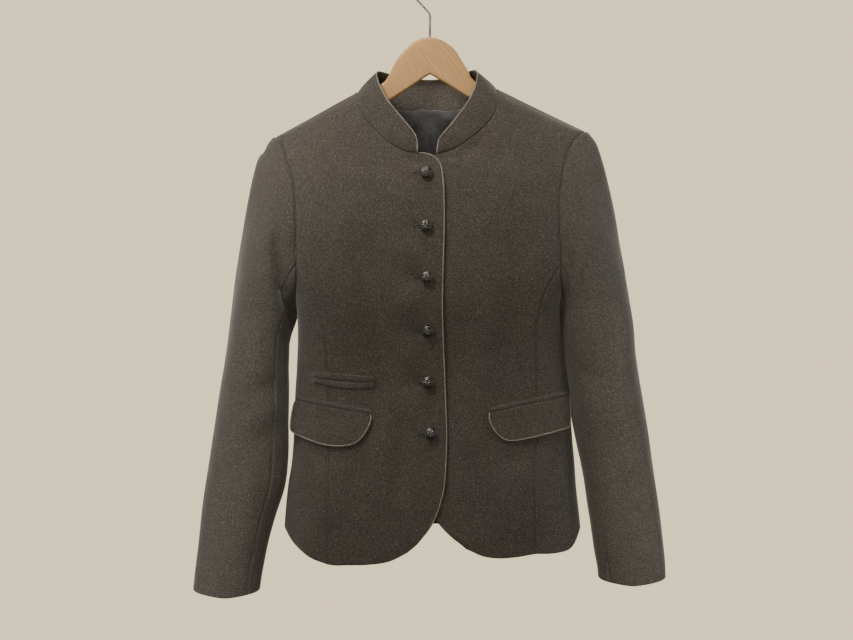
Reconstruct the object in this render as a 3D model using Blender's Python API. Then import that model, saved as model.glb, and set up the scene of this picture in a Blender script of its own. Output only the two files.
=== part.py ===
"""Tailored trachten jacket hanging on a flat wooden hanger.

Sizes are in millimetres. X runs to the wearer's left, Y to the back and Z up. The origin is the
inside top of the hanger's hook, so a height is written as a drop below it. The body is a hollow
tube of sections that closes to a ridge along the shoulders, the sleeves are tubes that fan up to
the armholes, and every panel is a wall of cloth cut out of those surfaces with a gap at its seams.
"""
import math

import bpy
import numpy as np

MM = 0.001

# Cloth
CLOTH = 2.0
SEAM_GAP = 0.3
LINING = 1.0
RIGHT = -1
LEFT = 1
NAMES = {RIGHT: "right", LEFT: "left"}

# Shoulders: the neck point and the sleeve point of each ridge, and how fast the ridge opens
SHOULDER = {
    RIGHT: {"neck_x": 96.0, "neck_drop": 160.6, "tip_x": 204.4, "tip_drop": 220.3},
    LEFT: {"neck_x": 89.0, "neck_drop": 156.6, "tip_x": 205.7, "tip_drop": 213.0},
}
RIDGE_OPENING = 150.0

# Armholes: the seam runs up the front and back at this share of the half-width
ARMHOLE_SHARE = 0.94
ARMHOLE_TURN_DROP = 393.0
UNDERARM_DROP = {RIGHT: 444.5, LEFT: 439.0}

# How many spans each stretch of a panel has
LOWER_SPANS = 12
UPPER_SPANS = 12
PANEL_SPANS = 9
TURN_SPANS = 4
NECK_SPANS = 6
QUARTER_SPANS = 60

# How rows crowd towards the hem and towards the sleeve point, and how far the hem's dip reaches up
LOWER_SPREAD = 0.92
UPPER_SPREAD = 1.5
HEM_FADE_ROWS = 6
# The last rows below the shoulder seam spread by width, not by girth, and are fitted in passes
LEVEL_ROWS = 5
FIT_PASSES = 3
# The back seam's columns change their spacing this far above the underarm
BACK_SPLIT_RISE = 60.0
# Steps along and down the body over which its normal is measured
GIRTH_STEP = 0.004
DROP_STEP = 1.0

# The left front lies this much deeper where the right front laps over it
LAP_DEPTH = 3.0
LAP_FULL_X = 25.0
LAP_NONE_X = 42.0


def table(columns, rows):
    """Turn rows into one array for each named column."""
    return {name: np.array([row[i] for row in rows], float)
            for i, name in enumerate(columns.split())}


# Body sections: half-widths at the wearer's right and left, depths, and squareness of the corners
BODY = table("drop right left front back square", [
    (130, 222, 224, 42, 40, 6.0),
    (213, 222, 218.8, 47, 46, 6.0),
    (220, 217.4, 209, 48, 48, 6.0),
    (230, 210, 200, 49, 50, 6.0),
    (252, 202.6, 191, 52, 53, 6.0),
    (276, 194, 184.5, 57, 56, 6.0),
    (303, 189.2, 181, 61, 58, 6.0),
    (334, 187.8, 180.5, 65, 60, 6.0),
    (393, 186.4, 183, 68, 60, 5.6),
    (420, 181.5, 177, 68, 58, 5.2),
    (444, 177.5, 171, 66, 55, 4.6),
    (479, 175.8, 169, 61, 49, 4.0),
    (525, 176.5, 173.8, 55, 44, 3.5),
    (570, 179.1, 180.5, 54, 44, 3.3),
    (611, 180.5, 184.6, 57, 48, 3.2),
    (649, 182.6, 189.5, 60, 53, 3.2),
    (685, 188.4, 193.5, 63, 57, 3.2),
    (737, 193.1, 199.8, 66, 60, 3.2),
    (795, 196.0, 202.0, 68, 62, 3.2),
])

# Hem: drop of each front's hem by distance from the middle; the sides and back are level
FRONT_HEM = {
    RIGHT: table("x drop", [(29, 769.7), (52, 781), (76, 785.2), (106, 786.2), (135, 785.6),
                            (155, 777.6), (176, 761.7), (193, 740)]),
    LEFT: table("x drop", [(48, 764.4), (66, 773.6), (78, 776.3), (113, 775.9), (139, 771.8),
                           (170, 770.2), (187, 764), (194, 757), (200, 740)]),
}
BACK_HEM_DROP = 739.0

# Princess seams and the seams at the side of the back: distance from the middle by drop
FRONT_SEAM = {
    RIGHT: table("drop x", [(434, 150), (463, 142), (525, 134.7), (570, 134), (786, 135)]),
    LEFT: table("drop x", [(434, 148), (463, 139.3), (525, 137.5), (570, 137), (786, 140)]),
}
BACK_SEAM = {
    RIGHT: table("drop x", [(434, 150), (480, 134), (540, 124), (740, 122)]),
    LEFT: table("drop x", [(434, 147), (480, 133), (540, 124), (740, 122)]),
}

# Front edges from the rounded hem corner up to the level of the armhole's turn
FRONT_EDGE = {
    RIGHT: table("x drop", [(-29.2, 769.7), (-14.6, 756.4), (0.9, 734.6), (11, 711), (17.6, 684.7),
                            (20.5, 650), (21.2, 612), (20, 573), (18.3, 529), (16.5, 485),
                            (15.6, 441), (16.4, 397), (17.8, 353)]),
    LEFT: table("x drop", [(47.8, 764.4), (27.9, 749.8), (10.6, 731), (-4, 708), (-14, 680),
                           (-20, 646), (-22, 612), (-22, 573), (-22, 529), (-22, 485),
                           (-22, 441), (-22, 397), (-22, 353)]),
}
# Front edges on up, round the neck corner to the end of the collar
NECK_CORNER = {
    RIGHT: table("x drop", [(18, 318), (17, 284), (14, 262), (7.7, 251.5), (-3, 245.8)]),
    LEFT: table("x drop", [(-22, 318), (-21, 284), (-18, 263), (-11, 253.5), (-1, 248.5)]),
}
# Neck seam and the top edge of the collar, from the collar's end round to the middle of the back
FRONT_COLLAR = {
    RIGHT: table("x drop edge_x edge_drop edge_y", [
        (-16.6, 244.4, -16.9, 229, -48.5), (-33, 242.5, -21.5, 218, -48),
        (-58, 228.5, -35.5, 200.5, -44), (-79.6, 207, -54, 178, -36),
        (-92.5, 188, -63.5, 162, -28), (-96.8, 172.5, -69.5, 148, -18.5)]),
    LEFT: table("x drop edge_x edge_drop edge_y", [
        (9.3, 246.5, 10.5, 230, -45.5), (30, 240, 15, 222, -45),
        (55, 224.5, 31, 203, -42), (76, 205, 49, 178.5, -35),
        (88, 186, 58, 162, -27), (90.8, 170, 62.5, 148, -18)]),
}
BACK_COLLAR = {
    RIGHT: table("x drop edge_x edge_drop edge_y", [
        (-96, 160.6, -72, 137.5, -8), (-93.5, 162.2, -71, 134, 1), (-86, 166.5, -67, 133.5, 10),
        (-72, 174, -58, 135.5, 19), (-50, 181, -42, 139.5, 26), (-25, 184, -22, 142.7, 30),
        (0, 184.5, 0, 143.8, 31)]),
    LEFT: table("x drop edge_x edge_drop edge_y", [
        (89, 156.6, 64, 136.5, -8), (86.5, 158.8, 62, 132.5, 1), (80, 164, 57.5, 132, 10),
        (68, 172.5, 48, 134.5, 19), (48, 180, 34, 139, 26), (25, 184, 18, 142.5, 30),
        (0, 184.5, 0, 143.8, 31)]),
}
COLLAR_SPANS = 3
COLLAR_BOW = 1.5
COLLAR_CENTRE = (-3.0, -8.0)

# Sleeves: distances of the inner and outer edge from the middle, half-depth and middle line's place
SLEEVE = {
    RIGHT: table("drop inner outer half_depth middle_y", [
        (456, 181, 264, 58, -1), (479, 189, 267.2, 58, -2), (513, 188.5, 272.2, 56, -4),
        (560, 187.5, 279.5, 53, -7), (602, 187.5, 285.7, 49, -11), (644, 187.8, 291.8, 45, -15),
        (684, 191.5, 297.9, 42, -20), (724, 204, 303, 39, -25), (765, 215, 307.2, 36, -29),
        (800, 221.6, 311, 34, -32), (826, 224.5, 313, 33, -34)]),
    LEFT: table("drop inner outer half_depth middle_y", [
        (450, 173.5, 263.5, 58, -1), (474, 173.8, 267.5, 58, -2), (508, 177.5, 272.7, 56, -4),
        (550, 183.5, 279.6, 53, -7), (590, 189.5, 285.9, 49, -11), (630, 196, 291.7, 45, -15),
        (675, 204.4, 298.6, 42, -20), (714, 211.5, 303.7, 39, -25), (752, 217.3, 307.8, 36, -29),
        (786, 220.8, 311, 34, -32), (810, 222, 312, 33, -34)]),
}
SLEEVE_SQUARENESS = 2.3
CAP_STEPS = (0.22, 0.42, 0.62, 0.8, 0.92, 1.0)
CAP_RISE = 0.38
CAP_PUFF = 0.13
# Ways in which the cap leaves the armhole: out, spread to front and back, and down at the top
CAP_OUT = 0.92
CAP_SPREAD = 0.42
CAP_FALL = 0.16
SLEEVE_BACK_SEAM = 25

# Pocket flaps on each side: drops of the top and bottom edge by distance from the middle
FLAP = {
    RIGHT: table("x top bottom", [
        (77.5, 589.0, 592.5), (79.5, 588.4, 600), (84, 587.6, 610), (91.6, 586.2, 620.5),
        (100, 584.8, 626.5), (112, 582.6, 629.3), (127, 579.8, 629.5), (143, 576.8, 626.8),
        (157, 574.2, 622), (168, 572.0, 616.5), (175, 570.4, 612)]),
    LEFT: table("x top bottom", [
        (77.8, 586.5, 589.5), (79.5, 586.0, 598), (84, 585.0, 608), (91, 583.4, 616.5),
        (99, 581.6, 621.5), (110, 579.0, 622.6), (124, 575.8, 620.3), (139, 572.4, 617),
        (155, 568.8, 612.5), (168, 565.8, 608.5), (176, 564.0, 606)]),
}
FLAP_LIFT = 0.7
FLAP_FLARE = 1.6
FLAP_SPANS = 4
JET_HEIGHT = 6.0
JET_THICKNESS = 1.6
JET_GAP = 0.4

# Ticket pocket on the right front: its two welts and the lens between them
TICKET = {"inner_x": 73.0, "outer_x": 153.0, "inner_drop": 540.0, "outer_drop": 533.0,
          "welt": 6.2, "lens": 4.4}
TICKET_SPANS = 8

# Piping and buttons
PIPING_RADIUS = 1.2
PIPING_SIDES = 6
CORNER_REACH = 1.5
BUTTONS = table("x drop", [(-5.3, 270.7), (-5.3, 341), (-4, 408.7), (-2.7, 479), (-2.3, 546.7),
                           (0.8, 614.4)])
BUTTON_RADIUS = 8.2
BUTTON_PROFILE = table("radius height", [
    (0.0, 0.4), (2.2, 0.4), (2.2, 2.4), (7.0, 2.6), (8.2, 3.8), (7.6, 6.0), (5.2, 8.0), (2.4, 8.9),
    (0.0, 9.1)])
BUTTON_SIDES = 16

# Back neck lining, inside the back panels
LINING_LOW_ROW = 12
LINING_TOP_ROW = 21
LINING_COLUMNS = 5
LINING_GAP = 0.5

# Hanger: drop of its upper and lower outline by distance from the shank, and its thickness
HANGER_THICKNESS = 12.0
HANGER_SEAT = 1.9
HANGER = table("x top bottom", [
    (-196, 0, 241), (-192, 0, 244), (-160, 0, 233), (-120, 0, 213), (-96, 0, 199.5),
    (-76, 155.5, 186.5), (-64, 150, 179), (-57, 143, 174.5), (-52, 133, 171.2), (-45, 119.5, 166.7),
    (-34, 105.8, 159.5), (-18, 92.5, 149), (-9, 89, 142.6), (0, 88.0, 137.2), (9, 89, 142.3),
    (20, 94, 149), (33, 104.2, 157), (43, 119.5, 163.3), (50, 131.3, 167.6), (55, 141, 170.8),
    (61, 147.5, 174.7), (72, 154.6, 181.7), (90, 162.4, 193), (120, 0, 208.5), (160, 0, 227),
    (193, 0, 237.5), (197, 0, 234.5)])
HANGER_EDGE = table("across down", [(0.3, 0.0), (0.75, 1.3), (1.0, 3.8)])
HANGER_TIP_DROP = 6.0
HANGER_TIP_THICKNESS = 0.55

# Hook: a round wire that leaves the hanger straight up and bends into an open loop
WIRE_RADIUS = 1.5
LOOP_RADIUS = 23.5
SHANK_TOP_DROP = 60.0
SHANK_SINK = 18.0
SHANK_STRAIGHT = 14.0
BEND_SHIFT = 1.5
BEND_RISE = 5.0
BORE_CLEARANCE = 0.3
BORE_RISE = 10.0
BORE_SIDES = 12
LOOP_START = math.radians(222)
LOOP_END = math.radians(-32)
LOOP_STEPS = 22
WIRE_SIDES = 8

# Normals that agree less than this across a seam stay apart
VALLEY_LIMIT = 0.3

# Faces that meet at less than this angle are shaded smooth
SHARP_ANGLE = math.radians(50)

# The way each piece's outer side faces; sleeves and side panels face out to their own side
TOWARD = {"front": (0, -1, 0), "back": (0, 1, 0), "collar": (0, 1, 0)}

COLOURS = {
    "cloth": ((0.055, 0.046, 0.036), 0.95, 0.0),
    "piping": ((0.21, 0.185, 0.145), 0.7, 0.0),
    "lining": ((0.018, 0.018, 0.026), 0.45, 0.0),
    "button": ((0.03, 0.028, 0.028), 0.35, 0.8),
    "wood": ((0.55, 0.36, 0.19), 0.5, 0.0),
    "steel": ((0.35, 0.34, 0.33), 0.35, 1.0),
}


def smooth_curve(x, y, at):
    """Read a smooth curve through the points (x, y), with x rising, at the places given."""
    slope = np.gradient(y, x)
    at = np.clip(at, x[0], x[-1])
    i = np.clip(np.searchsorted(x, at) - 1, 0, len(x) - 2)
    span = x[i + 1] - x[i]
    t = (at - x[i]) / span
    return ((2 * t**3 - 3 * t**2 + 1) * y[i] + (t**3 - 2 * t**2 + t) * span * slope[i]
            + (3 * t**2 - 2 * t**3) * y[i + 1] + (t**3 - t**2) * span * slope[i + 1])


def smooth_step(t):
    """Rise from 0 to 1 with level ends."""
    t = np.clip(t, 0.0, 1.0)
    return t * t * (3.0 - 2.0 * t)


def section(drop, side, back):
    """Half-width, depth and squareness of one quarter of the body at a drop."""
    width = smooth_curve(BODY["drop"], BODY[NAMES[side]], drop)
    depth = smooth_curve(BODY["drop"], BODY["back" if back else "front"], drop)
    return float(width), float(depth), float(smooth_curve(BODY["drop"], BODY["square"], drop))


def quarter_profile(drop, side, back):
    """Quarter of a section from the middle to the side, with the share of its length."""
    width, depth, square = section(drop, side, back)
    angle = np.linspace(0.0, math.pi / 2, QUARTER_SPANS + 1)
    x = width * np.sin(angle) ** (2 / square)
    y = depth * np.maximum(np.cos(angle), 0.0) ** (2 / square)
    steps = np.hypot(np.diff(x), np.diff(y))
    share = np.concatenate([[0.0], np.cumsum(steps)])
    return x, y, share / share[-1]


def ridge_drop(x, side):
    """Drop of the shoulder ridge at a distance from the middle."""
    s = SHOULDER[side]
    slope = (s["tip_drop"] - s["neck_drop"]) / (s["tip_x"] - s["neck_x"])
    x = abs(x)
    if x >= s["neck_x"]:
        return s["neck_drop"] + slope * (x - s["neck_x"])
    return s["neck_drop"] - slope * (s["neck_x"] ** 2 - x ** 2) / (2 * s["neck_x"])


def ridge_factor(x, drop, side):
    """How far the body has opened below the ridge, from 0 on it to 1."""
    t = min(max((drop - ridge_drop(x, side)) / RIDGE_OPENING, 0.0), 1.0)
    return math.sqrt(1.0 - (1.0 - t) ** 2)


def lap(x, side):
    """How much deeper the left front lies under the right one."""
    if side == RIGHT:
        return 0.0
    return LAP_DEPTH * float(smooth_step((LAP_NONE_X - x) / (LAP_NONE_X - LAP_FULL_X)))


def body_point(girth, drop, side):
    """Point on the body: girth is 0 at mid front, 1 at the side and 2 at mid back."""
    back = girth > 1.0
    share = 2.0 - girth if back else girth
    px, py, length = quarter_profile(drop, side, back)
    x = math.copysign(np.interp(abs(share), length, px), share) * side
    y = np.interp(abs(share), length, py) * ridge_factor(x, drop, side)
    if back:
        return np.array([x, y, -drop])
    return np.array([x, -y + lap(x, side), -drop])


def girth_at(x, drop, side, back=False):
    """Girth of the body point at a signed x."""
    px, _, length = quarter_profile(drop, side, back)
    share = math.copysign(np.interp(abs(x), px, length), x * side)
    return 2.0 - share if back else share


def body_normal(girth, drop, side):
    """Unit normal of the body, facing out."""
    along = (body_point(girth + GIRTH_STEP, drop, side)
             - body_point(girth - GIRTH_STEP, drop, side))
    down = body_point(girth, drop + DROP_STEP, side) - body_point(girth, drop - DROP_STEP, side)
    normal = np.cross(down, along) * side
    return normal / np.linalg.norm(normal)


def armhole(side, back):
    """Girths and drops of the armhole from the underarm up to the sleeve point."""
    turn = ARMHOLE_TURN_DROP
    low = UNDERARM_DROP[side]
    points = []
    _, depth, square = section(turn, side, back)
    turn_y = depth * (1 - ARMHOLE_SHARE ** square) ** (1 / square)
    for i in range(TURN_SPANS):
        angle = math.pi / 2 * i / TURN_SPANS
        drop = turn + (low - turn) * math.cos(angle)
        _, py, length = quarter_profile(drop, side, back)
        share = np.interp(turn_y * math.sin(angle), py[::-1], length[::-1])
        points.append((2.0 - share if back else share, drop))
    tip = SHOULDER[side]["tip_drop"]
    for i in range(UPPER_SPANS + 1):
        drop = tip + (turn - tip) * (1 - i / UPPER_SPANS) ** UPPER_SPREAD
        width = section(drop, side, back)[0]
        points.append((girth_at(side * width * ARMHOLE_SHARE, drop, side, back), drop))
    return points


def armhole_loop(side):
    """Closed loop of armhole points: underarm, front, sleeve point, back and underarm."""
    front = [body_point(g, d, side) for g, d in armhole(side, False)]
    rear = [body_point(g, d, side) for g, d in armhole(side, True)]
    s = SHOULDER[side]
    tip = np.array([side * s["tip_x"], 0.0, -s["tip_drop"]])
    front[-1] = tip
    return np.array(front + rear[-2::-1])


def row_between(start, end, side, back, top_share, dip):
    """Points across a panel from one edge to the other, on the body, dipped towards the hem."""
    points = []
    for i in range(PANEL_SPANS + 1):
        t = i / PANEL_SPANS
        drop = start["drop"] + (end["drop"] - start["drop"]) * t
        for _ in range(FIT_PASSES):
            girth = start["girth"] + (end["girth"] - start["girth"]) * t
            by_girth = body_point(girth, drop, side)[0]
            by_width = start["x"] + (end["x"] - start["x"]) * t
            x = by_girth + (by_width - by_girth) * top_share
            across = (x - start["x"]) / (end["x"] - start["x"])
            drop = start["drop"] + (end["drop"] - start["drop"]) * across + dip[i]
        points.append(body_point(girth_at(x, drop, side, back), drop, side))
    return np.array(points)


def hem_dip(start, end, side, back):
    """How far each point of the hem hangs below the line between the panel's two corners."""
    level = row_between(start, end, side, back, 0.0, np.zeros(PANEL_SPANS + 1))
    dip = np.array([hem_drop(abs(p[0]), side, back) for p in level]) + level[:, 2]
    dip[[0, -1]] = 0.0
    return dip


def hem_drop(x, side, back):
    """Drop of the hem at a distance from the middle."""
    if back:
        return BACK_HEM_DROP
    hem = FRONT_HEM[side]
    return float(smooth_curve(hem["x"], hem["drop"], x))


def seam_edge(side, back):
    """Outer edge of a front or back panel: up its long seam, then up the armhole."""
    seam = BACK_SEAM[side] if back else FRONT_SEAM[side]
    upper = armhole(side, back)[TURN_SPANS:]
    hem = hem_drop(seam["x"][-1], side, back)
    turn_x = abs(body_point(upper[0][0], upper[0][1], side)[0])
    drops = np.concatenate([[ARMHOLE_TURN_DROP], seam["drop"]])
    widths = np.concatenate([[turn_x], seam["x"]])
    edge = []
    for i in range(LOWER_SPANS):
        drop = hem + (ARMHOLE_TURN_DROP - hem) * (i / LOWER_SPANS) ** LOWER_SPREAD
        x = side * float(smooth_curve(drops, widths, drop))
        edge.append({"x": x, "drop": drop, "girth": girth_at(x, drop, side, back)})
    for girth, drop in upper:
        x = body_point(girth, drop, side)[0]
        edge.append({"x": x, "drop": drop, "girth": girth})
    tip = SHOULDER[side]
    edge[-1] = {"x": side * tip["tip_x"], "drop": tip["tip_drop"], "girth": edge[-1]["girth"]}
    return edge


def middle_edge(side, back):
    """Inner edge of a panel: front edge or back seam, the neck seam, and the neck point."""
    if back:
        collar = BACK_COLLAR[side]
        low = UNDERARM_DROP[side] - BACK_SPLIT_RISE
        straight = list(np.linspace(BACK_HEM_DROP, low, LOWER_SPANS + 1))
        straight += list(np.linspace(low, collar["drop"][-1], NECK_SPANS + 1))[1:-1]
        xs = [0.0] * len(straight) + list(collar["x"][::-1])
        drops = straight + list(collar["drop"][::-1])
    else:
        parts = (FRONT_EDGE[side], NECK_CORNER[side], FRONT_COLLAR[side])
        xs = [x for part in parts for x in part["x"]] + [BACK_COLLAR[side]["x"][0]]
        drops = [d for part in parts for d in part["drop"]] + [BACK_COLLAR[side]["drop"][0]]
    return [{"x": float(x), "drop": float(d), "girth": girth_at(x, d, side, back)}
            for x, d in zip(xs, drops)]


def panel_grid(side, back):
    """Grid of a front or back panel, hem row first, middle column first."""
    inner = middle_edge(side, back)
    outer = seam_edge(side, back)
    rows = []
    last = LOWER_SPANS + UPPER_SPANS
    dip = hem_dip(inner[0], outer[0], side, back)
    for i in range(last + 1):
        top_share = float(smooth_step((i - last + LEVEL_ROWS) / LEVEL_ROWS))
        fade = max(0.0, 1.0 - i / HEM_FADE_ROWS)
        rows.append(row_between(inner[i], outer[i], side, back, top_share, dip * fade))
    grid = np.array(rows)
    loop = armhole_loop(side)
    around = loop[::-1] if back else loop
    grid[LOWER_SPANS:, -1] = around[TURN_SPANS:TURN_SPANS + UPPER_SPANS + 1]
    return grid


def side_grid(side, front, rear):
    """Grid of the side panel between the front's and the back's long seams."""
    low = [(g, d) for g, d in armhole(side, False)[:TURN_SPANS + 1]][::-1]
    low += [(g, d) for g, d in armhole(side, True)[1:TURN_SPANS + 1]]
    columns = len(low)
    front_seam = seam_edge(side, False)[:LOWER_SPANS + 1]
    back_seam = seam_edge(side, True)[:LOWER_SPANS + 1]
    f_drop = np.array([e["drop"] for e in front_seam])[::-1]
    f_girth = np.array([e["girth"] for e in front_seam])[::-1]
    b_drop = np.array([e["drop"] for e in back_seam])[::-1]
    b_girth = np.array([e["girth"] for e in back_seam])[::-1]
    grid = np.zeros((LOWER_SPANS + 1, columns, 3))
    for c, (top_girth, top_drop) in enumerate(low):
        t = c / (columns - 1)
        start_girth = f_girth[-1] + (b_girth[-1] - f_girth[-1]) * t
        start_x = abs(body_point(start_girth, BACK_HEM_DROP, side)[0])
        bottom = hem_drop(start_x, side, start_girth > 1.0)
        top_linear = (np.interp(top_drop, f_drop, f_girth)
                      + (np.interp(top_drop, b_drop, b_girth)
                         - np.interp(top_drop, f_drop, f_girth)) * t)
        for i in range(LOWER_SPANS + 1):
            share = (i / LOWER_SPANS) ** LOWER_SPREAD
            drop = bottom + (top_drop - bottom) * share
            here = (np.interp(drop, f_drop, f_girth)
                    + (np.interp(drop, b_drop, b_girth) - np.interp(drop, f_drop, f_girth)) * t)
            girth = here + (top_girth - top_linear) * share ** 3
            grid[i, c] = body_point(girth, drop, side)
    grid[:, 0] = front[:LOWER_SPANS + 1, -1]
    grid[:, -1] = rear[:LOWER_SPANS + 1, -1]
    loop = armhole_loop(side)
    grid[-1] = np.concatenate([loop[:TURN_SPANS + 1][::-1], loop[-TURN_SPANS - 1:-1][::-1]])
    return grid


def sleeve_grid(side):
    """Tube of a sleeve, cuff row first, round from the underarm over the front."""
    loop = armhole_loop(side)
    lengths = np.concatenate([[0.0], np.cumsum(np.linalg.norm(np.diff(loop, axis=0), axis=1))])
    top = TURN_SPANS + UPPER_SPANS
    angle = np.where(np.arange(len(loop)) <= top, math.pi * lengths / lengths[top],
                     math.pi + math.pi * (lengths - lengths[top]) / (lengths[-1] - lengths[top]))
    rows = []
    rings = SLEEVE[side]
    bulge = 2 / SLEEVE_SQUARENESS
    for r in range(len(rings["drop"])):
        half = (rings["outer"][r] - rings["inner"][r]) / 2
        middle = rings["inner"][r] + half
        c = np.sign(np.cos(angle)) * np.abs(np.cos(angle)) ** bulge
        s = np.sign(np.sin(angle)) * np.abs(np.sin(angle)) ** bulge
        x = side * (middle - half * c)
        y = rings["middle_y"][r] - rings["half_depth"][r] * s
        z = np.full(len(loop), -rings["drop"][r])
        ring = np.stack([x, y, z], axis=1)
        ring[-1] = ring[0]
        rows.append(ring)
    rows = rows[::-1]
    base = rows[-1]
    reach = np.linalg.norm(loop - base, axis=1)[:, None]
    fall = CAP_FALL * (1 - np.cos(angle)) / 2
    outward = np.stack([np.full(len(loop), CAP_OUT * side), -CAP_SPREAD * np.sin(angle), -fall],
                       axis=1)
    lean = np.stack([-side * fall, np.zeros(len(loop)), np.ones(len(loop))], axis=1)
    first = base + lean * reach * CAP_RISE
    second = loop + outward * reach * CAP_PUFF
    for t in CAP_STEPS:
        rows.append((1 - t) ** 3 * base + 3 * (1 - t) ** 2 * t * first
                    + 3 * (1 - t) * t * t * second + t ** 3 * loop)
    rows[-1] = loop
    return np.array(rows)


def collar_grid(bottom_points):
    """Grid of the stand collar, neck seam row first, from the right end to the left end."""
    right = [(r["edge_x"][i], r["edge_y"][i], -r["edge_drop"][i])
             for r in (FRONT_COLLAR[RIGHT], BACK_COLLAR[RIGHT]) for i in range(len(r["x"]))]
    left = [(r["edge_x"][i], r["edge_y"][i], -r["edge_drop"][i])
            for r in (FRONT_COLLAR[LEFT], BACK_COLLAR[LEFT]) for i in range(len(r["x"]))]
    edge = np.array(right + left[-2::-1])
    rows = []
    for i in range(COLLAR_SPANS + 1):
        t = i / COLLAR_SPANS
        row = bottom_points + (edge - bottom_points) * t
        away = row[:, :2] - np.array(COLLAR_CENTRE)
        away /= np.linalg.norm(away, axis=1)[:, None]
        row[:, :2] += away * COLLAR_BOW * math.sin(math.pi * t)
        rows.append(row)
    return np.array(rows)


def grid_normals(grid, toward):
    """Unit normals of a grid, turned to face the way given at its middle."""
    normals = np.cross(np.gradient(grid, axis=0), np.gradient(grid, axis=1))
    normals /= np.maximum(np.linalg.norm(normals, axis=2, keepdims=True), 1e-9)
    middle = normals[normals.shape[0] // 2, normals.shape[1] // 2]
    if np.dot(middle, toward) < 0:
        normals = -normals
    return normals


def rim_of(shape):
    """Places on the edge of a grid."""
    rows, columns = shape
    return [(i, j) for i in range(rows) for j in range(columns)
            if i in (0, rows - 1) or j in (0, columns - 1)]


def share_normals(panels):
    """Give panels that meet at a point one common normal there, except in a sharp valley."""
    sums = {}
    for grid, normals in panels:
        for place in rim_of(grid.shape[:2]):
            key = tuple(np.round(grid[place], 2))
            sums.setdefault(key, []).append(normals[place].copy())
    for grid, normals in panels:
        for place in rim_of(grid.shape[:2]):
            meeting = np.array(sums[tuple(np.round(grid[place], 2))])
            if np.min(meeting @ meeting.T) > VALLEY_LIMIT:
                total = meeting.sum(axis=0)
                normals[place] = total / np.linalg.norm(total)


def inset(grid):
    """Draw every edge of a grid in by half the seam gap."""
    moved = grid.copy()
    half = SEAM_GAP / 2

    def pull(edge, neighbour):
        step = neighbour - edge
        return step / np.linalg.norm(step, axis=1)[:, None] * half

    moved[0] += pull(grid[0], grid[1])
    moved[-1] += pull(grid[-1], grid[-2])
    moved[:, 0] += pull(grid[:, 0], grid[:, 1])
    moved[:, -1] += pull(grid[:, -1], grid[:, -2])
    return moved


def material(kind):
    """The finish of one kind of stuff, made once."""
    found = bpy.data.materials.get(kind)
    if found:
        return found
    colour, rough, metal = COLOURS[kind]
    made = bpy.data.materials.new(kind)
    made.use_nodes = True
    shader = made.node_tree.nodes["Principled BSDF"]
    shader.inputs["Base Color"].default_value = (*colour, 1.0)
    shader.inputs["Roughness"].default_value = rough
    shader.inputs["Metallic"].default_value = metal
    return made


def add_solid(name, points, faces, kind):
    """Make a named object from points in millimetres, with its faces turned out."""
    mesh = bpy.data.meshes.new(name)
    mesh.from_pydata([tuple(p * MM) for p in np.asarray(points, float)], [], faces)
    corners = np.array([p * MM for p in np.asarray(points, float)])
    volume = 0.0
    for face in faces:
        for i in range(1, len(face) - 1):
            a, b, c = corners[face[0]], corners[face[i]], corners[face[i + 1]]
            volume += np.dot(a, np.cross(b, c))
    if volume < 0:
        mesh.flip_normals()
    mesh.materials.append(material(kind))
    mesh.shade_smooth()
    mesh.set_sharp_from_angle(angle=SHARP_ANGLE)
    made = bpy.data.objects.new(name, mesh)
    bpy.context.scene.collection.objects.link(made)
    return made


def cloth_wall(name, grid, normals, thickness=CLOTH, kind="cloth"):
    """Closed wall between a grid and its copy moved in.

    The two surfaces are split along the same diagonals, and so are the edges of two walls that
    face each other across a seam, so that twisted faces stay parallel.
    """
    outer = inset(grid)
    inner = outer - normals * thickness
    rows, columns = grid.shape[:2]
    count = rows * columns
    points = np.concatenate([outer.reshape(-1, 3), inner.reshape(-1, 3)])
    faces = []
    for i in range(rows - 1):
        for j in range(columns - 1):
            a, b = i * columns + j, i * columns + j + 1
            c, d = b + columns, a + columns
            faces += [(a, b, c), (a, c, d)]
            faces += [(c + count, b + count, a + count), (d + count, c + count, a + count)]
    edge = ([(0, j) for j in range(columns)] + [(i, columns - 1) for i in range(1, rows)]
            + [(rows - 1, j) for j in range(columns - 2, -1, -1)]
            + [(i, 0) for i in range(rows - 2, 0, -1)])
    around = [i * columns + j for i, j in edge]
    keys = [tuple(key) for key in np.round(grid.reshape(-1, 3), 2)]
    for a, b in zip(around, around[1:] + around[:1]):
        if keys[a] > keys[b]:
            faces += [(b, a, a + count), (b, a + count, b + count)]
        else:
            faces += [(b, a, b + count), (a, a + count, b + count)]
    return add_solid(name, points, faces, kind)


def tube(name, path, radius, sides, kind, normals=None):
    """Round tube with closed ends along a path."""
    path = np.asarray(path, float)
    tangents = np.gradient(path, axis=0)
    tangents /= np.linalg.norm(tangents, axis=1)[:, None]
    points = []
    side_way = np.array([0.0, 1.0, 0.0]) if normals is None else normals[0]
    for i, (centre, tangent) in enumerate(zip(path, tangents)):
        guide = side_way if normals is None else normals[i]
        across = guide - tangent * np.dot(guide, tangent)
        across /= np.linalg.norm(across)
        other = np.cross(tangent, across)
        side_way = across
        for k in range(sides):
            angle = 2 * math.pi * (k + 0.5) / sides
            points.append(centre + radius * (math.cos(angle) * across + math.sin(angle) * other))
    faces = []
    for i in range(len(path) - 1):
        for k in range(sides):
            a, b = i * sides + k, i * sides + (k + 1) % sides
            faces.append((a, b, b + sides, a + sides))
    faces.append(tuple(range(sides - 1, -1, -1)))
    last = (len(path) - 1) * sides
    faces.append(tuple(range(last, last + sides)))
    return add_solid(name, points, faces, kind)


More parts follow.
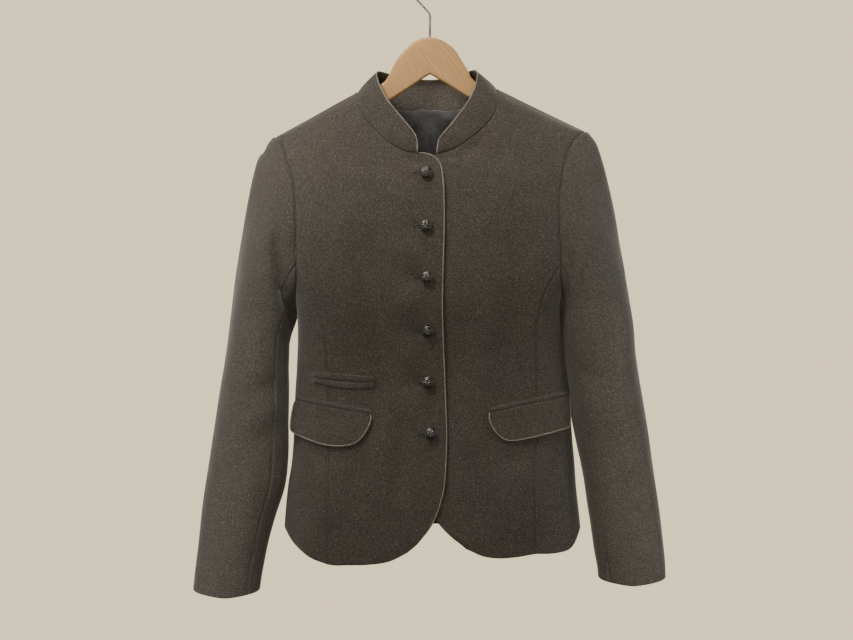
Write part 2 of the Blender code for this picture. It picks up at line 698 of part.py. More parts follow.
def piping(name, edge, inward, normals, corners=()):
    """Cord of piping that lies just off the edge of a wall of cloth, round its sharp corners."""
    along = np.gradient(edge, axis=0)
    away = np.cross(along, normals)
    away /= np.linalg.norm(away, axis=1)[:, None]
    if np.sum(away * (edge - inward)) < 0:
        away = -away
    reach = np.full((len(edge), 1), PIPING_RADIUS + SEAM_GAP)
    reach[list(corners)] *= CORNER_REACH
    path = edge + away * reach - normals * CLOTH / 2
    return tube(name, path, PIPING_RADIUS, PIPING_SIDES, "piping", normals)


def build_body():
    """Fronts, side panels and backs, and the grids that other pieces are made from."""
    grids = {}
    for side in (RIGHT, LEFT):
        front = panel_grid(side, False)
        rear = panel_grid(side, True)
        grids["front", side] = front
        grids["back", side] = rear
        grids["side", side] = side_grid(side, front, rear)
        grids["sleeve", side] = sleeve_grid(side)
    for side in (RIGHT, LEFT):
        grids["back", side][-1] = grids["front", side][-1]
    corner = LOWER_SPANS + UPPER_SPANS - NECK_SPANS
    ring = [grids["front", RIGHT][corner:, 0], grids["back", RIGHT][corner:-1, 0][::-1],
            grids["back", LEFT][corner + 1:-1, 0], grids["front", LEFT][corner:, 0][::-1]]
    grids["collar", 0] = collar_grid(np.concatenate(ring))
    return grids


def all_normals(grids):
    """Normals of every grid, shared where grids meet."""
    normals = {}
    for (piece, side), grid in grids.items():
        toward = TOWARD.get(piece, (side, 0, 0))
        normals[piece, side] = grid_normals(grid, np.array(toward, float))
    for side in (RIGHT, LEFT):
        tube_normals = normals["sleeve", side]
        ends = tube_normals[:, 0] + tube_normals[:, -1]
        ends /= np.maximum(np.linalg.norm(ends, axis=1)[:, None], 1e-9)
        tube_normals[:, 0] = ends
        tube_normals[:, -1] = ends
    share_normals([(grids[key], normals[key]) for key in grids])
    return normals


def build_sleeves(grids, normals):
    """Each sleeve cut along its two seams into an upper and an under sleeve."""
    for side in (RIGHT, LEFT):
        grid, facing = grids["sleeve", side], normals["sleeve", side]
        last = grid.shape[1] - 1
        upper = list(range(TURN_SPANS, SLEEVE_BACK_SEAM + 1))
        under = list(range(SLEEVE_BACK_SEAM, last)) + list(range(0, TURN_SPANS + 1))
        name = NAMES[side]
        cloth_wall(name + "_upper_sleeve", grid[:, upper], facing[:, upper])
        cloth_wall(name + "_under_sleeve", grid[:, under], facing[:, under])


def on_body(x, drop, side, lift):
    """Point and normal at a place on the front of the body, moved out."""
    girth = girth_at(x, drop, side)
    normal = body_normal(girth, drop, side)
    return body_point(girth, drop, side) + normal * lift, normal


def patch(name, columns, side, spans, lift, flare, thickness):
    """Wall that lies on the front: each column has its x and the drops of its two ends."""
    grid = np.zeros((spans + 1, len(columns), 3))
    facing = np.zeros_like(grid)
    for j, (x, top, bottom) in enumerate(columns):
        for i in range(spans + 1):
            t = i / spans
            rise = lift + thickness + flare * t * t
            grid[i, j], facing[i, j] = on_body(side * x, top + (bottom - top) * t, side, rise)
    cloth_wall(name, grid, facing, thickness)
    return grid, facing


def build_pockets():
    """Slanted flaps with their jets and piping, and the ticket pocket's welts."""
    for side in (RIGHT, LEFT):
        name, flap = NAMES[side], FLAP[side]
        columns = list(zip(flap["x"], flap["top"], flap["bottom"]))
        grid, facing = patch(name + "_flap", columns, side, FLAP_SPANS, FLAP_LIFT, FLAP_FLARE,
                             CLOTH)
        edge = np.concatenate([grid[:-1, 0], grid[-1]])
        inner = np.concatenate([grid[:-1, 1], grid[-2]])
        ways = np.concatenate([facing[:-1, 0], facing[-1]])
        piping(name + "_flap_piping", edge[2:], inner[2:], ways[2:])
        jet = [(x, top - JET_GAP - JET_HEIGHT, top - JET_GAP) for x, top, _ in columns]
        patch(name + "_flap_jet", jet, side, 1, FLAP_LIFT, 0.0, JET_THICKNESS)
    upper, lower = [], []
    for i in range(TICKET_SPANS + 1):
        t = i / TICKET_SPANS
        x = TICKET["inner_x"] + (TICKET["outer_x"] - TICKET["inner_x"]) * t
        top = TICKET["inner_drop"] + (TICKET["outer_drop"] - TICKET["inner_drop"]) * t
        middle = top + TICKET["welt"]
        gap = JET_GAP + TICKET["lens"] * math.sin(math.pi * t)
        upper.append((x, top, middle))
        lower.append((x, middle + gap, middle + gap + TICKET["welt"]))
    patch("ticket_upper_welt", upper, RIGHT, 1, FLAP_LIFT, 0.0, JET_THICKNESS)
    patch("ticket_lower_welt", lower, RIGHT, 1, FLAP_LIFT, 0.0, JET_THICKNESS)


def build_trim(grids, normals):
    """Piping along the right front edge and round the collar's top edge."""
    front, facing = grids["front", RIGHT], normals["front", RIGHT]
    corner = LOWER_SPANS + UPPER_SPANS - NECK_SPANS
    piping("front_piping", front[:corner, 0], front[:corner, 1], facing[:corner, 0])
    collar, ways = grids["collar", 0], normals["collar", 0]
    edge = np.concatenate([collar[1:-1, 0], collar[-1], collar[1:-1, -1][::-1]])
    inward = np.concatenate([collar[1:-1, 1], collar[-2], collar[1:-1, -2][::-1]])
    around = np.concatenate([ways[1:-1, 0], ways[-1], ways[1:-1, -1][::-1]])
    corner = COLLAR_SPANS - 1
    piping("collar_piping", edge, inward, around, (corner, len(edge) - 1 - corner))


def build_lining(grids, normals):
    """Lining inside each back, from the neck seam down, as far as the neck opening shows it."""
    depth = CLOTH + LINING_GAP
    for side in (RIGHT, LEFT):
        grid = grids["back", side][LINING_LOW_ROW:LINING_TOP_ROW + 1, :LINING_COLUMNS + 1]
        facing = normals["back", side][LINING_LOW_ROW:LINING_TOP_ROW + 1, :LINING_COLUMNS + 1]
        cloth_wall(NAMES[side] + "_back_lining", grid - facing * depth, facing, LINING, "lining")


def on_wall(grid, x, drop):
    """Point on the flat faces of a front wall, seen from the front at a place."""
    flat = grid[:, :, (0, 2)]
    corners = [(i, j, second, third) for i in range(grid.shape[0] - 1)
               for j in range(grid.shape[1] - 1)
               for second, third in (((i, j + 1), (i + 1, j + 1)), ((i + 1, j + 1), (i + 1, j)))]
    for i, j, second, third in corners:
        base = flat[i, j]
        edges = np.stack([flat[second] - base, flat[third] - base], axis=1)
        u, v = np.linalg.solve(edges, np.array([x, -drop]) - base)
        if u >= 0 and v >= 0 and u + v <= 1:
            return grid[i, j] * (1 - u - v) + grid[second] * u + grid[third] * v
    return body_point(girth_at(x, drop, RIGHT), drop, RIGHT)


def build_buttons(front):
    """Six domed buttons with shanks, on the wall of the right front."""
    radii, heights = BUTTON_PROFILE["radius"], BUTTON_PROFILE["height"]
    for n, (x, drop) in enumerate(zip(BUTTONS["x"], BUTTONS["drop"])):
        seat = on_wall(front, x, drop)
        normal = body_normal(girth_at(x, drop, RIGHT), drop, RIGHT)
        across = np.cross(normal, [0.0, 0.0, 1.0])
        across /= np.linalg.norm(across)
        up = np.cross(across, normal)
        points = [seat + normal * heights[0]]
        for r, h in zip(radii[1:-1], heights[1:-1]):
            for k in range(BUTTON_SIDES):
                angle = 2 * math.pi * k / BUTTON_SIDES
                ring = math.cos(angle) * across + math.sin(angle) * up
                points.append(seat + normal * h + ring * r)
        points.append(seat + normal * heights[-1])
        faces = []
        for k in range(BUTTON_SIDES):
            after = (k + 1) % BUTTON_SIDES
            faces.append((0, 1 + k, 1 + after))
            for i in range(len(radii) - 3):
                a, b = 1 + i * BUTTON_SIDES + k, 1 + i * BUTTON_SIDES + after
                faces.append((a, a + BUTTON_SIDES, b + BUTTON_SIDES, b))
            last = 1 + (len(radii) - 3) * BUTTON_SIDES
            faces.append((last + k, len(points) - 1, last + after))
        add_solid("button_%d" % (n + 1), points, faces, "button")


def hanger_outline(i):
    """Place and upper and lower drop of one cut across the hanger."""
    x, top, bottom = HANGER["x"][i], HANGER["top"][i], HANGER["bottom"][i]
    if top == 0:
        side = RIGHT if x < 0 else LEFT
        s = SHOULDER[side]
        slope = (s["tip_drop"] - s["neck_drop"]) / (s["tip_x"] - s["neck_x"])
        seat = (CLOTH + HANGER_SEAT) * math.hypot(1.0, slope)
        top = ridge_drop(x, side) + seat
        if i in (0, len(HANGER["x"]) - 1):
            top += HANGER_TIP_DROP
    return x, top, bottom


def build_hanger():
    """Flat wooden hanger with rounded edges, bored for the hook."""
    half = HANGER_THICKNESS / 2
    points = []
    count = len(HANGER["x"])
    across, down = HANGER_EDGE["across"], HANGER_EDGE["down"]
    ys = np.concatenate([across, across[::-1], -across, -across[::-1]])
    for i in range(count):
        x, top, bottom = hanger_outline(i)
        thick = half * (HANGER_TIP_THICKNESS if i in (0, count - 1) else 1.0)
        drops = np.concatenate([top + down, bottom - down[::-1], bottom - down, top + down[::-1]])
        points += [(x, y * thick, -drop) for y, drop in zip(ys, drops)]
    sides = len(ys)
    faces = []
    for i in range(count - 1):
        for k in range(sides):
            a, b = i * sides + k, i * sides + (k + 1) % sides
            faces.append((a, b, b + sides, a + sides))
    faces.append(tuple(range(sides - 1, -1, -1)))
    last = (count - 1) * sides
    faces.append(tuple(range(last, last + sides)))
    hanger = add_solid("hanger", np.array(points), faces, "wood")
    apex = float(np.interp(0.0, HANGER["x"], HANGER["top"]))
    top, bottom = BORE_RISE - apex, -apex - SHANK_SINK
    bpy.ops.mesh.primitive_cylinder_add(
        vertices=BORE_SIDES, radius=(WIRE_RADIUS + BORE_CLEARANCE) * MM, depth=(top - bottom) * MM,
        location=(0, 0, (top + bottom) / 2 * MM))
    cutter = bpy.context.active_object
    cutter.name = "shank_bore"
    cutter.hide_render = True
    cutter.display_type = "WIRE"
    cut = hanger.modifiers.new("bore", "BOOLEAN")
    cut.operation = "DIFFERENCE"
    cut.object = cutter
    return bottom


def build_hook(bore_bottom):
    """Steel wire hook: a shank out of the bore, a bend to the side and an open loop over it."""
    centre = np.array([0.0, 0.0, WIRE_RADIUS - LOOP_RADIUS])
    path = [np.array([0.0, 0.0, z]) for z in
            (bore_bottom + BORE_CLEARANCE, -SHANK_TOP_DROP - SHANK_STRAIGHT, -SHANK_TOP_DROP)]
    start = centre + LOOP_RADIUS * np.array([math.cos(LOOP_START), 0.0, math.sin(LOOP_START)])
    bend = np.array([-BEND_SHIFT, 0.0, BEND_RISE - SHANK_TOP_DROP])
    path += [bend, (bend + start) / 2]
    for i in range(LOOP_STEPS + 1):
        angle = LOOP_START + (LOOP_END - LOOP_START) * i / LOOP_STEPS
        path.append(centre + LOOP_RADIUS * np.array([math.cos(angle), 0.0, math.sin(angle)]))
    tube("hook", path, WIRE_RADIUS, WIRE_SIDES, "steel")


def build():
    """Make every piece of the jacket and its hanger."""
    for old in list(bpy.data.objects):
        bpy.data.objects.remove(old, do_unlink=True)
    grids = build_body()
    normals = all_normals(grids)
    for side in (RIGHT, LEFT):
        for piece in ("front", "side", "back"):
            cloth_wall(NAMES[side] + "_" + piece, grids[piece, side], normals[piece, side])
    build_sleeves(grids, normals)
    cloth_wall("collar", grids["collar", 0], normals["collar", 0])
    build_trim(grids, normals)
    build_pockets()
    build_lining(grids, normals)
    build_buttons(grids["front", RIGHT])
    build_hook(build_hanger())


build()
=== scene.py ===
"""Trachten jacket on its hanger: cloth, trim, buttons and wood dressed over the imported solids.

Lengths are in millimetres until a mesh is made. X runs to the wearer's left, Y to the back and Z
up, and a height is written as a drop below the inside top of the hook. Every panel is a coarse
grid on the jacket's form, refined to a fine one, moved by the jacket's folds and given thickness.
"""
import logging
import math
from dataclasses import dataclass, field
from enum import Enum

import bpy
import numpy as np
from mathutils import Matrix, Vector


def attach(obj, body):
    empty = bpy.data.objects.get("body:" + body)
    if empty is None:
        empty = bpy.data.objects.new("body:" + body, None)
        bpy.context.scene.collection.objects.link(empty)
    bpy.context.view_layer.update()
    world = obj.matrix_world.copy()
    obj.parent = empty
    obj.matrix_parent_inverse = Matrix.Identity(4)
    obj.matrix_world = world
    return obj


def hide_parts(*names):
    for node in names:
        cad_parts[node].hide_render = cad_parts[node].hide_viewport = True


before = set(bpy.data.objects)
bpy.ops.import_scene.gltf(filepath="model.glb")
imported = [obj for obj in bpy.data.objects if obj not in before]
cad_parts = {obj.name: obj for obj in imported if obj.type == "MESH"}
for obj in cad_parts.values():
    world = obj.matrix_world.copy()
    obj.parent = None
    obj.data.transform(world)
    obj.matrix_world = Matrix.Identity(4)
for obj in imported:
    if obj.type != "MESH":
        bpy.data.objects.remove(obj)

MM = 0.001
LOG = logging.getLogger("jacket")
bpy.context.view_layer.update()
Table = dict[str, np.ndarray]


class Side(Enum):
    """The wearer's side, as the sign of its x."""

    RIGHT = -1
    LEFT = 1

    @property
    def word(self) -> str:
        """Name of the side in lower case."""
        return self.name.lower()


class Edge(Enum):
    """How one edge of a piece is finished."""

    SEAM = "sewn to a neighbour, pressed into a groove"
    FOLD = "turned in, with a round edge"
    RAW = "hidden, left plain"


class Face(Enum):
    """Which half of the jacket a fold lies on."""

    FRONT = -1
    BACK = 1


def table(columns: str, rows: list[tuple]) -> Table:
    """Turn rows into one array for each named column.

    Args:
        columns: Names of the columns, with spaces between.
        rows: One tuple of numbers for each row.

    Returns:
        The columns by name.
    """
    return {name: np.array([row[i] for row in rows], float)
            for i, name in enumerate(columns.split())}


def smooth_curve(x: np.ndarray, y: np.ndarray, at: float | np.ndarray) -> float | np.ndarray:
    """Read a smooth curve through the points (x, y).

    Args:
        x: Rising places of the points.
        y: Values at the points.
        at: Where to read the curve.

    Returns:
        The values there.
    """
    slope = np.gradient(y, x)
    at = np.clip(at, x[0], x[-1])
    i = np.clip(np.searchsorted(x, at) - 1, 0, len(x) - 2)
    span = x[i + 1] - x[i]
    t = (at - x[i]) / span
    return ((2 * t**3 - 3 * t**2 + 1) * y[i] + (t**3 - 2 * t**2 + t) * span * slope[i]
            + (3 * t**2 - 2 * t**3) * y[i + 1] + (t**3 - t**2) * span * slope[i + 1])


def smooth_step(t: float | np.ndarray) -> float | np.ndarray:
    """Rise from 0 to 1 with level ends."""
    t = np.clip(t, 0.0, 1.0)
    return t * t * (3.0 - 2.0 * t)


def unit(vectors: np.ndarray) -> np.ndarray:
    """Vectors at length 1."""
    return vectors / np.maximum(np.linalg.norm(vectors, axis=-1, keepdims=True), 1e-9)


def along(points: np.ndarray, at: np.ndarray, closed: bool = False) -> np.ndarray:
    """Smooth curve through points along the first axis.

    Args:
        points: Points, or rows of points. A closed run repeats its first point at its end.
        at: Places to read, counted in spans.
        closed: Whether the run closes on itself.

    Returns:
        One point, or row of points, for each place.
    """
    slope = np.gradient(points, axis=0)
    if closed:
        ends = (points[1] - points[-2]) / 2
        slope[0] = ends
        slope[-1] = ends
        at = np.mod(at, len(points) - 1)
    i = np.clip(at.astype(int), 0, len(points) - 2)
    t = (at - i).reshape(-1, *([1] * (points.ndim - 1)))
    return ((2 * t**3 - 3 * t**2 + 1) * points[i] + (t**3 - 2 * t**2 + t) * slope[i]
            + (3 * t**2 - 2 * t**3) * points[i + 1] + (t**3 - t**2) * slope[i + 1])


@dataclass(frozen=True)
class Shoulder:
    """Ends of one shoulder ridge: the neck point and the sleeve point."""

    neck_x: float
    neck_drop: float
    tip_x: float
    tip_drop: float

    @property
    def slope(self) -> float:
        """Fall of the ridge for each millimetre outwards."""
        return (self.tip_drop - self.neck_drop) / (self.tip_x - self.neck_x)


@dataclass
class JacketForm:
    """The surface that the body's panels are cut from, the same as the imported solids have."""

    shoulders: dict[Side, Shoulder] = field(default_factory=lambda: {
        Side.RIGHT: Shoulder(96.0, 160.6, 204.4, 220.3),
        Side.LEFT: Shoulder(89.0, 156.6, 205.7, 213.0)})
    ridge_opening: float = 150.0
    armhole_share: float = 0.94
    armhole_turn: float = 393.0
    underarm: dict[Side, float] = field(default_factory=lambda: {
        Side.RIGHT: 444.5, Side.LEFT: 439.0})
    lower_spans: int = 12
    upper_spans: int = 12
    panel_spans: int = 9
    turn_spans: int = 4
    neck_spans: int = 6
    lower_spread: float = 0.92
    upper_spread: float = 1.5
    hem_fade_rows: int = 6
    level_rows: int = 5
    fit_passes: int = 3
    back_split_rise: float = 60.0
    lap_depth: float = 3.0
    lap_full_x: float = 25.0
    lap_none_x: float = 42.0
    back_hem_drop: float = 739.0
    quarter_spans: int = 60
    body: Table = field(default_factory=lambda: table("drop right left front back square", [
        (130, 222, 224, 42, 40, 6.0), (213, 222, 218.8, 47, 46, 6.0),
        (220, 217.4, 209, 48, 48, 6.0), (230, 210, 200, 49, 50, 6.0),
        (252, 202.6, 191, 52, 53, 6.0), (276, 194, 184.5, 57, 56, 6.0),
        (303, 189.2, 181, 61, 58, 6.0), (334, 187.8, 180.5, 65, 60, 6.0),
        (393, 186.4, 183, 68, 60, 5.6), (420, 181.5, 177, 68, 58, 5.2),
        (444, 177.5, 171, 66, 55, 4.6), (479, 175.8, 169, 61, 49, 4.0),
        (525, 176.5, 173.8, 55, 44, 3.5), (570, 179.1, 180.5, 54, 44, 3.3),
        (611, 180.5, 184.6, 57, 48, 3.2), (649, 182.6, 189.5, 60, 53, 3.2),
        (685, 188.4, 193.5, 63, 57, 3.2), (737, 193.1, 199.8, 66, 60, 3.2),
        (795, 196.0, 202.0, 68, 62, 3.2)]))
    front_hem: dict[Side, Table] = field(default_factory=lambda: {
        Side.RIGHT: table("x drop", [(29, 769.7), (52, 781), (76, 785.2), (106, 786.2),
                                     (135, 785.6), (155, 777.6), (176, 761.7), (193, 740)]),
        Side.LEFT: table("x drop", [(48, 764.4), (66, 773.6), (78, 776.3), (113, 775.9),
                                    (139, 771.8), (170, 770.2), (187, 764), (194, 757),
                                    (200, 740)])})
    front_seam: dict[Side, Table] = field(default_factory=lambda: {
        Side.RIGHT: table("drop x", [(434, 150), (463, 142), (525, 134.7), (570, 134),
                                     (786, 135)]),
        Side.LEFT: table("drop x", [(434, 148), (463, 139.3), (525, 137.5), (570, 137),
                                    (786, 140)])})
    back_seam: dict[Side, Table] = field(default_factory=lambda: {
        Side.RIGHT: table("drop x", [(434, 150), (480, 134), (540, 124), (740, 122)]),
        Side.LEFT: table("drop x", [(434, 147), (480, 133), (540, 124), (740, 122)])})
    front_edge: dict[Side, Table] = field(default_factory=lambda: {
        Side.RIGHT: table("x drop", [
            (-29.2, 769.7), (-14.6, 756.4), (0.9, 734.6), (11, 711), (17.6, 684.7), (20.5, 650),
            (21.2, 612), (20, 573), (18.3, 529), (16.5, 485), (15.6, 441), (16.4, 397),
            (17.8, 353), (18, 318), (17, 284), (14, 262), (7.7, 251.5), (-3, 245.8)]),
        Side.LEFT: table("x drop", [
            (47.8, 764.4), (27.9, 749.8), (10.6, 731), (-4, 708), (-14, 680), (-20, 646),
            (-22, 612), (-22, 573), (-22, 529), (-22, 485), (-22, 441), (-22, 397), (-22, 353),
            (-22, 318), (-21, 284), (-18, 263), (-11, 253.5), (-1, 248.5)])})
    front_collar: dict[Side, Table] = field(default_factory=lambda: {
        Side.RIGHT: table("x drop edge_x edge_drop edge_y", [
            (-16.6, 244.4, -16.9, 229, -48.5), (-33, 242.5, -21.5, 218, -48),
            (-58, 228.5, -35.5, 200.5, -44), (-79.6, 207, -54, 178, -36),
            (-92.5, 188, -63.5, 162, -28), (-96.8, 172.5, -69.5, 148, -18.5)]),
        Side.LEFT: table("x drop edge_x edge_drop edge_y", [
            (9.3, 246.5, 10.5, 230, -45.5), (30, 240, 15, 222, -45),
            (55, 224.5, 31, 203, -42), (76, 205, 49, 178.5, -35),
            (88, 186, 58, 162, -27), (90.8, 170, 62.5, 148, -18)])})
    back_collar: dict[Side, Table] = field(default_factory=lambda: {
        Side.RIGHT: table("x drop edge_x edge_drop edge_y", [
            (-96, 160.6, -72, 137.5, -8), (-93.5, 162.2, -71, 134, 1),
            (-86, 166.5, -67, 133.5, 10), (-72, 174, -58, 135.5, 19), (-50, 181, -42, 139.5, 26),
            (-25, 184, -22, 142.7, 30), (0, 184.5, 0, 143.8, 31)]),
        Side.LEFT: table("x drop edge_x edge_drop edge_y", [
            (89, 156.6, 64, 136.5, -8), (86.5, 158.8, 62, 132.5, 1), (80, 164, 57.5, 132, 10),
            (68, 172.5, 48, 134.5, 19), (48, 180, 34, 139, 26), (25, 184, 18, 142.5, 30),
            (0, 184.5, 0, 143.8, 31)])})

    def section(self, drop: float, side: Side, back: bool) -> tuple[float, float, float]:
        """Half-width, depth and squareness of one quarter of the body.

        Args:
            drop: Height of the section.
            side: The wearer's side.
            back: Whether it is the back quarter.

        Returns:
            Half-width, depth and squareness.
        """
        rows = self.body
        return (float(smooth_curve(rows["drop"], rows[side.word], drop)),
                float(smooth_curve(rows["drop"], rows["back" if back else "front"], drop)),
                float(smooth_curve(rows["drop"], rows["square"], drop)))

    def quarter(self, drop: float, side: Side,
                back: bool) -> tuple[np.ndarray, np.ndarray, np.ndarray]:
        """One quarter of a section, from the middle to the side.

        Args:
            drop: Height of the section.
            side: The wearer's side.
            back: Whether it is the back quarter.

        Returns:
            The widths, the depths and the shares of the length along it.
        """
        width, depth, square = self.section(drop, side, back)
        angle = np.linspace(0.0, math.pi / 2, self.quarter_spans + 1)
        x = width * np.sin(angle) ** (2 / square)
        y = depth * np.maximum(np.cos(angle), 0.0) ** (2 / square)
        share = np.concatenate([[0.0], np.cumsum(np.hypot(np.diff(x), np.diff(y)))])
        return x, y, share / share[-1]

    def ridge_drop(self, x: float, side: Side) -> float:
        """Drop of the shoulder ridge at a distance from the middle."""
        s, x = self.shoulders[side], abs(x)
        if x >= s.neck_x:
            return s.neck_drop + s.slope * (x - s.neck_x)
        return s.neck_drop - s.slope * (s.neck_x ** 2 - x ** 2) / (2 * s.neck_x)

    def point(self, girth: float, drop: float, side: Side) -> np.ndarray:
        """Point on the body.

        Args:
            girth: 0 at mid front, 1 at the side and 2 at mid back.
            drop: Height of the point.
            side: The wearer's side.

        Returns:
            The point.
        """
        back = girth > 1.0
        share = 2.0 - girth if back else girth
        px, py, length = self.quarter(drop, side, back)
        x = math.copysign(np.interp(abs(share), length, px), share) * side.value
        t = min(max((drop - self.ridge_drop(x, side)) / self.ridge_opening, 0.0), 1.0)
        y = np.interp(abs(share), length, py) * math.sqrt(1.0 - (1.0 - t) ** 2)
        if back:
            return np.array([x, y, -drop])
        under = 0.0
        if side is Side.LEFT:
            reach = (self.lap_none_x - x) / (self.lap_none_x - self.lap_full_x)
            under = self.lap_depth * float(smooth_step(reach))
        return np.array([x, under - y, -drop])

    def girth_at(self, x: float, drop: float, side: Side, back: bool = False) -> float:
        """Girth of the body's point at a signed x.

        Args:
            x: Place from the middle.
            drop: Height of the point.
            side: The wearer's side.
            back: Whether the point is on the back.

        Returns:
            The girth there.
        """
        px, _, length = self.quarter(drop, side, back)
        share = math.copysign(np.interp(abs(x), px, length), x * side.value)
        return 2.0 - share if back else share

    def normal(self, girth: float, drop: float, side: Side) -> np.ndarray:
        """Unit normal of the body, facing out.

        Args:
            girth: Girth of the point.
            drop: Height of the point.
            side: The wearer's side.

        Returns:
            The normal.
        """
        across = self.point(girth + 0.004, drop, side) - self.point(girth - 0.004, drop, side)
        down = self.point(girth, drop + 1.0, side) - self.point(girth, drop - 1.0, side)
        return unit(np.cross(down, across) * side.value)

    def armhole(self, side: Side, back: bool) -> list[tuple[float, float]]:
        """Armhole from the underarm up to the sleeve point.

        Args:
            side: The wearer's side.
            back: Whether it is the back half.

        Returns:
            Girths and drops.
        """
        turn, low = self.armhole_turn, self.underarm[side]
        _, depth, square = self.section(turn, side, back)
        turn_y = depth * (1 - self.armhole_share ** square) ** (1 / square)
        points = []
        for i in range(self.turn_spans):
            angle = math.pi / 2 * i / self.turn_spans
            drop = turn + (low - turn) * math.cos(angle)
            _, py, length = self.quarter(drop, side, back)
            share = np.interp(turn_y * math.sin(angle), py[::-1], length[::-1])
            points.append((2.0 - share if back else share, drop))
        tip = self.shoulders[side].tip_drop
        for i in range(self.upper_spans + 1):
            drop = tip + (turn - tip) * (1 - i / self.upper_spans) ** self.upper_spread
            width = self.section(drop, side, back)[0]
            x = side.value * width * self.armhole_share
            points.append((self.girth_at(x, drop, side, back), drop))
        return points

    def armhole_loop(self, side: Side) -> np.ndarray:
        """Closed loop of armhole points: underarm, front, sleeve point, back and underarm."""
        front = [self.point(g, d, side) for g, d in self.armhole(side, False)]
        rear = [self.point(g, d, side) for g, d in self.armhole(side, True)]
        s = self.shoulders[side]
        front[-1] = np.array([side.value * s.tip_x, 0.0, -s.tip_drop])
        return np.array(front + rear[-2::-1])

    def hem_drop(self, x: float, side: Side, back: bool) -> float:
        """Drop of the hem at a distance from the middle."""
        hem = self.front_hem[side]
        return self.back_hem_drop if back else float(smooth_curve(hem["x"], hem["drop"], x))

    def row(self, start: dict, end: dict, side: Side, back: bool, top_share: float,
            dip: np.ndarray) -> np.ndarray:
        """Points across a panel from one edge to the other.

        Args:
            start: Place on the inner edge, with x, drop and girth.
            end: Place on the outer edge.
            side: The wearer's side.
            back: Whether it is a back panel.
            top_share: How far the points are spread by width and not by girth.
            dip: How much lower than the straight line each point lies.

        Returns:
            The points.
        """
        points = []
        for i in range(self.panel_spans + 1):
            t = i / self.panel_spans
            drop = start["drop"] + (end["drop"] - start["drop"]) * t
            for _ in range(self.fit_passes):
                girth = start["girth"] + (end["girth"] - start["girth"]) * t
                by_girth = self.point(girth, drop, side)[0]
                by_width = start["x"] + (end["x"] - start["x"]) * t
                x = by_girth + (by_width - by_girth) * top_share
                across = (x - start["x"]) / (end["x"] - start["x"])
                drop = start["drop"] + (end["drop"] - start["drop"]) * across + dip[i]
            points.append(self.point(self.girth_at(x, drop, side, back), drop, side))
        return np.array(points)

    def outer_edge(self, side: Side, back: bool) -> list[dict]:
        """Outer edge of a front or back: up its long seam, then up the armhole.

        Args:
            side: The wearer's side.
            back: Whether it is a back panel.

        Returns:
            Places with x, drop and girth.
        """
        seam = (self.back_seam if back else self.front_seam)[side]
        upper = self.armhole(side, back)[self.turn_spans:]
        hem = self.hem_drop(seam["x"][-1], side, back)
        turn_x = abs(self.point(upper[0][0], upper[0][1], side)[0])
        drops = np.concatenate([[self.armhole_turn], seam["drop"]])
        widths = np.concatenate([[turn_x], seam["x"]])
        edge = []
        for i in range(self.lower_spans):
            rise = (i / self.lower_spans) ** self.lower_spread
            drop = hem + (self.armhole_turn - hem) * rise
            x = side.value * float(smooth_curve(drops, widths, drop))
            edge.append({"x": x, "drop": drop, "girth": self.girth_at(x, drop, side, back)})
        edge += [{"x": self.point(girth, drop, side)[0], "drop": drop, "girth": girth}
                 for girth, drop in upper]
        tip = self.shoulders[side]
        edge[-1] = {"x": side.value * tip.tip_x, "drop": tip.tip_drop,
                    "girth": edge[-1]["girth"]}
        return edge

    def inner_edge(self, side: Side, back: bool) -> list[dict]:
        """Inner edge of a panel: front edge or back seam, the neck seam, and the neck point.

        Args:
            side: The wearer's side.
            back: Whether it is a back panel.

        Returns:
            Places with x, drop and girth.
        """
        collar = self.back_collar[side]
        if back:
            low = self.underarm[side] - self.back_split_rise
            drops = list(np.linspace(self.back_hem_drop, low, self.lower_spans + 1))
            drops += list(np.linspace(low, collar["drop"][-1], self.neck_spans + 1))[1:-1]
            xs = [0.0] * len(drops) + list(collar["x"][::-1])
            drops += list(collar["drop"][::-1])
        else:
            parts = (self.front_edge[side], self.front_collar[side])
            xs = [x for part in parts for x in part["x"]] + [collar["x"][0]]
            drops = [d for part in parts for d in part["drop"]] + [collar["drop"][0]]
        return [{"x": float(x), "drop": float(d), "girth": self.girth_at(x, d, side, back)}
                for x, d in zip(xs, drops)]

    def panel(self, side: Side, back: bool) -> np.ndarray:
        """Grid of a front or back panel, hem row first and middle column first.

        Args:
            side: The wearer's side.
            back: Whether it is a back panel.

        Returns:
            The grid of points.
        """
        inner, outer = self.inner_edge(side, back), self.outer_edge(side, back)
        last = self.lower_spans + self.upper_spans
        level = self.row(inner[0], outer[0], side, back, 0.0, np.zeros(self.panel_spans + 1))
        dip = np.array([self.hem_drop(abs(p[0]), side, back) for p in level]) + level[:, 2]
        dip[[0, -1]] = 0.0
        rows = []
        for i in range(last + 1):
            top_share = float(smooth_step((i - last + self.level_rows) / self.level_rows))
            fade = max(0.0, 1.0 - i / self.hem_fade_rows)
            rows.append(self.row(inner[i], outer[i], side, back, top_share, dip * fade))
        grid = np.array(rows)
        loop = self.armhole_loop(side)
        around = loop[::-1] if back else loop
        grid[self.lower_spans:, -1] = around[self.turn_spans:self.turn_spans
                                             + self.upper_spans + 1]
        return grid

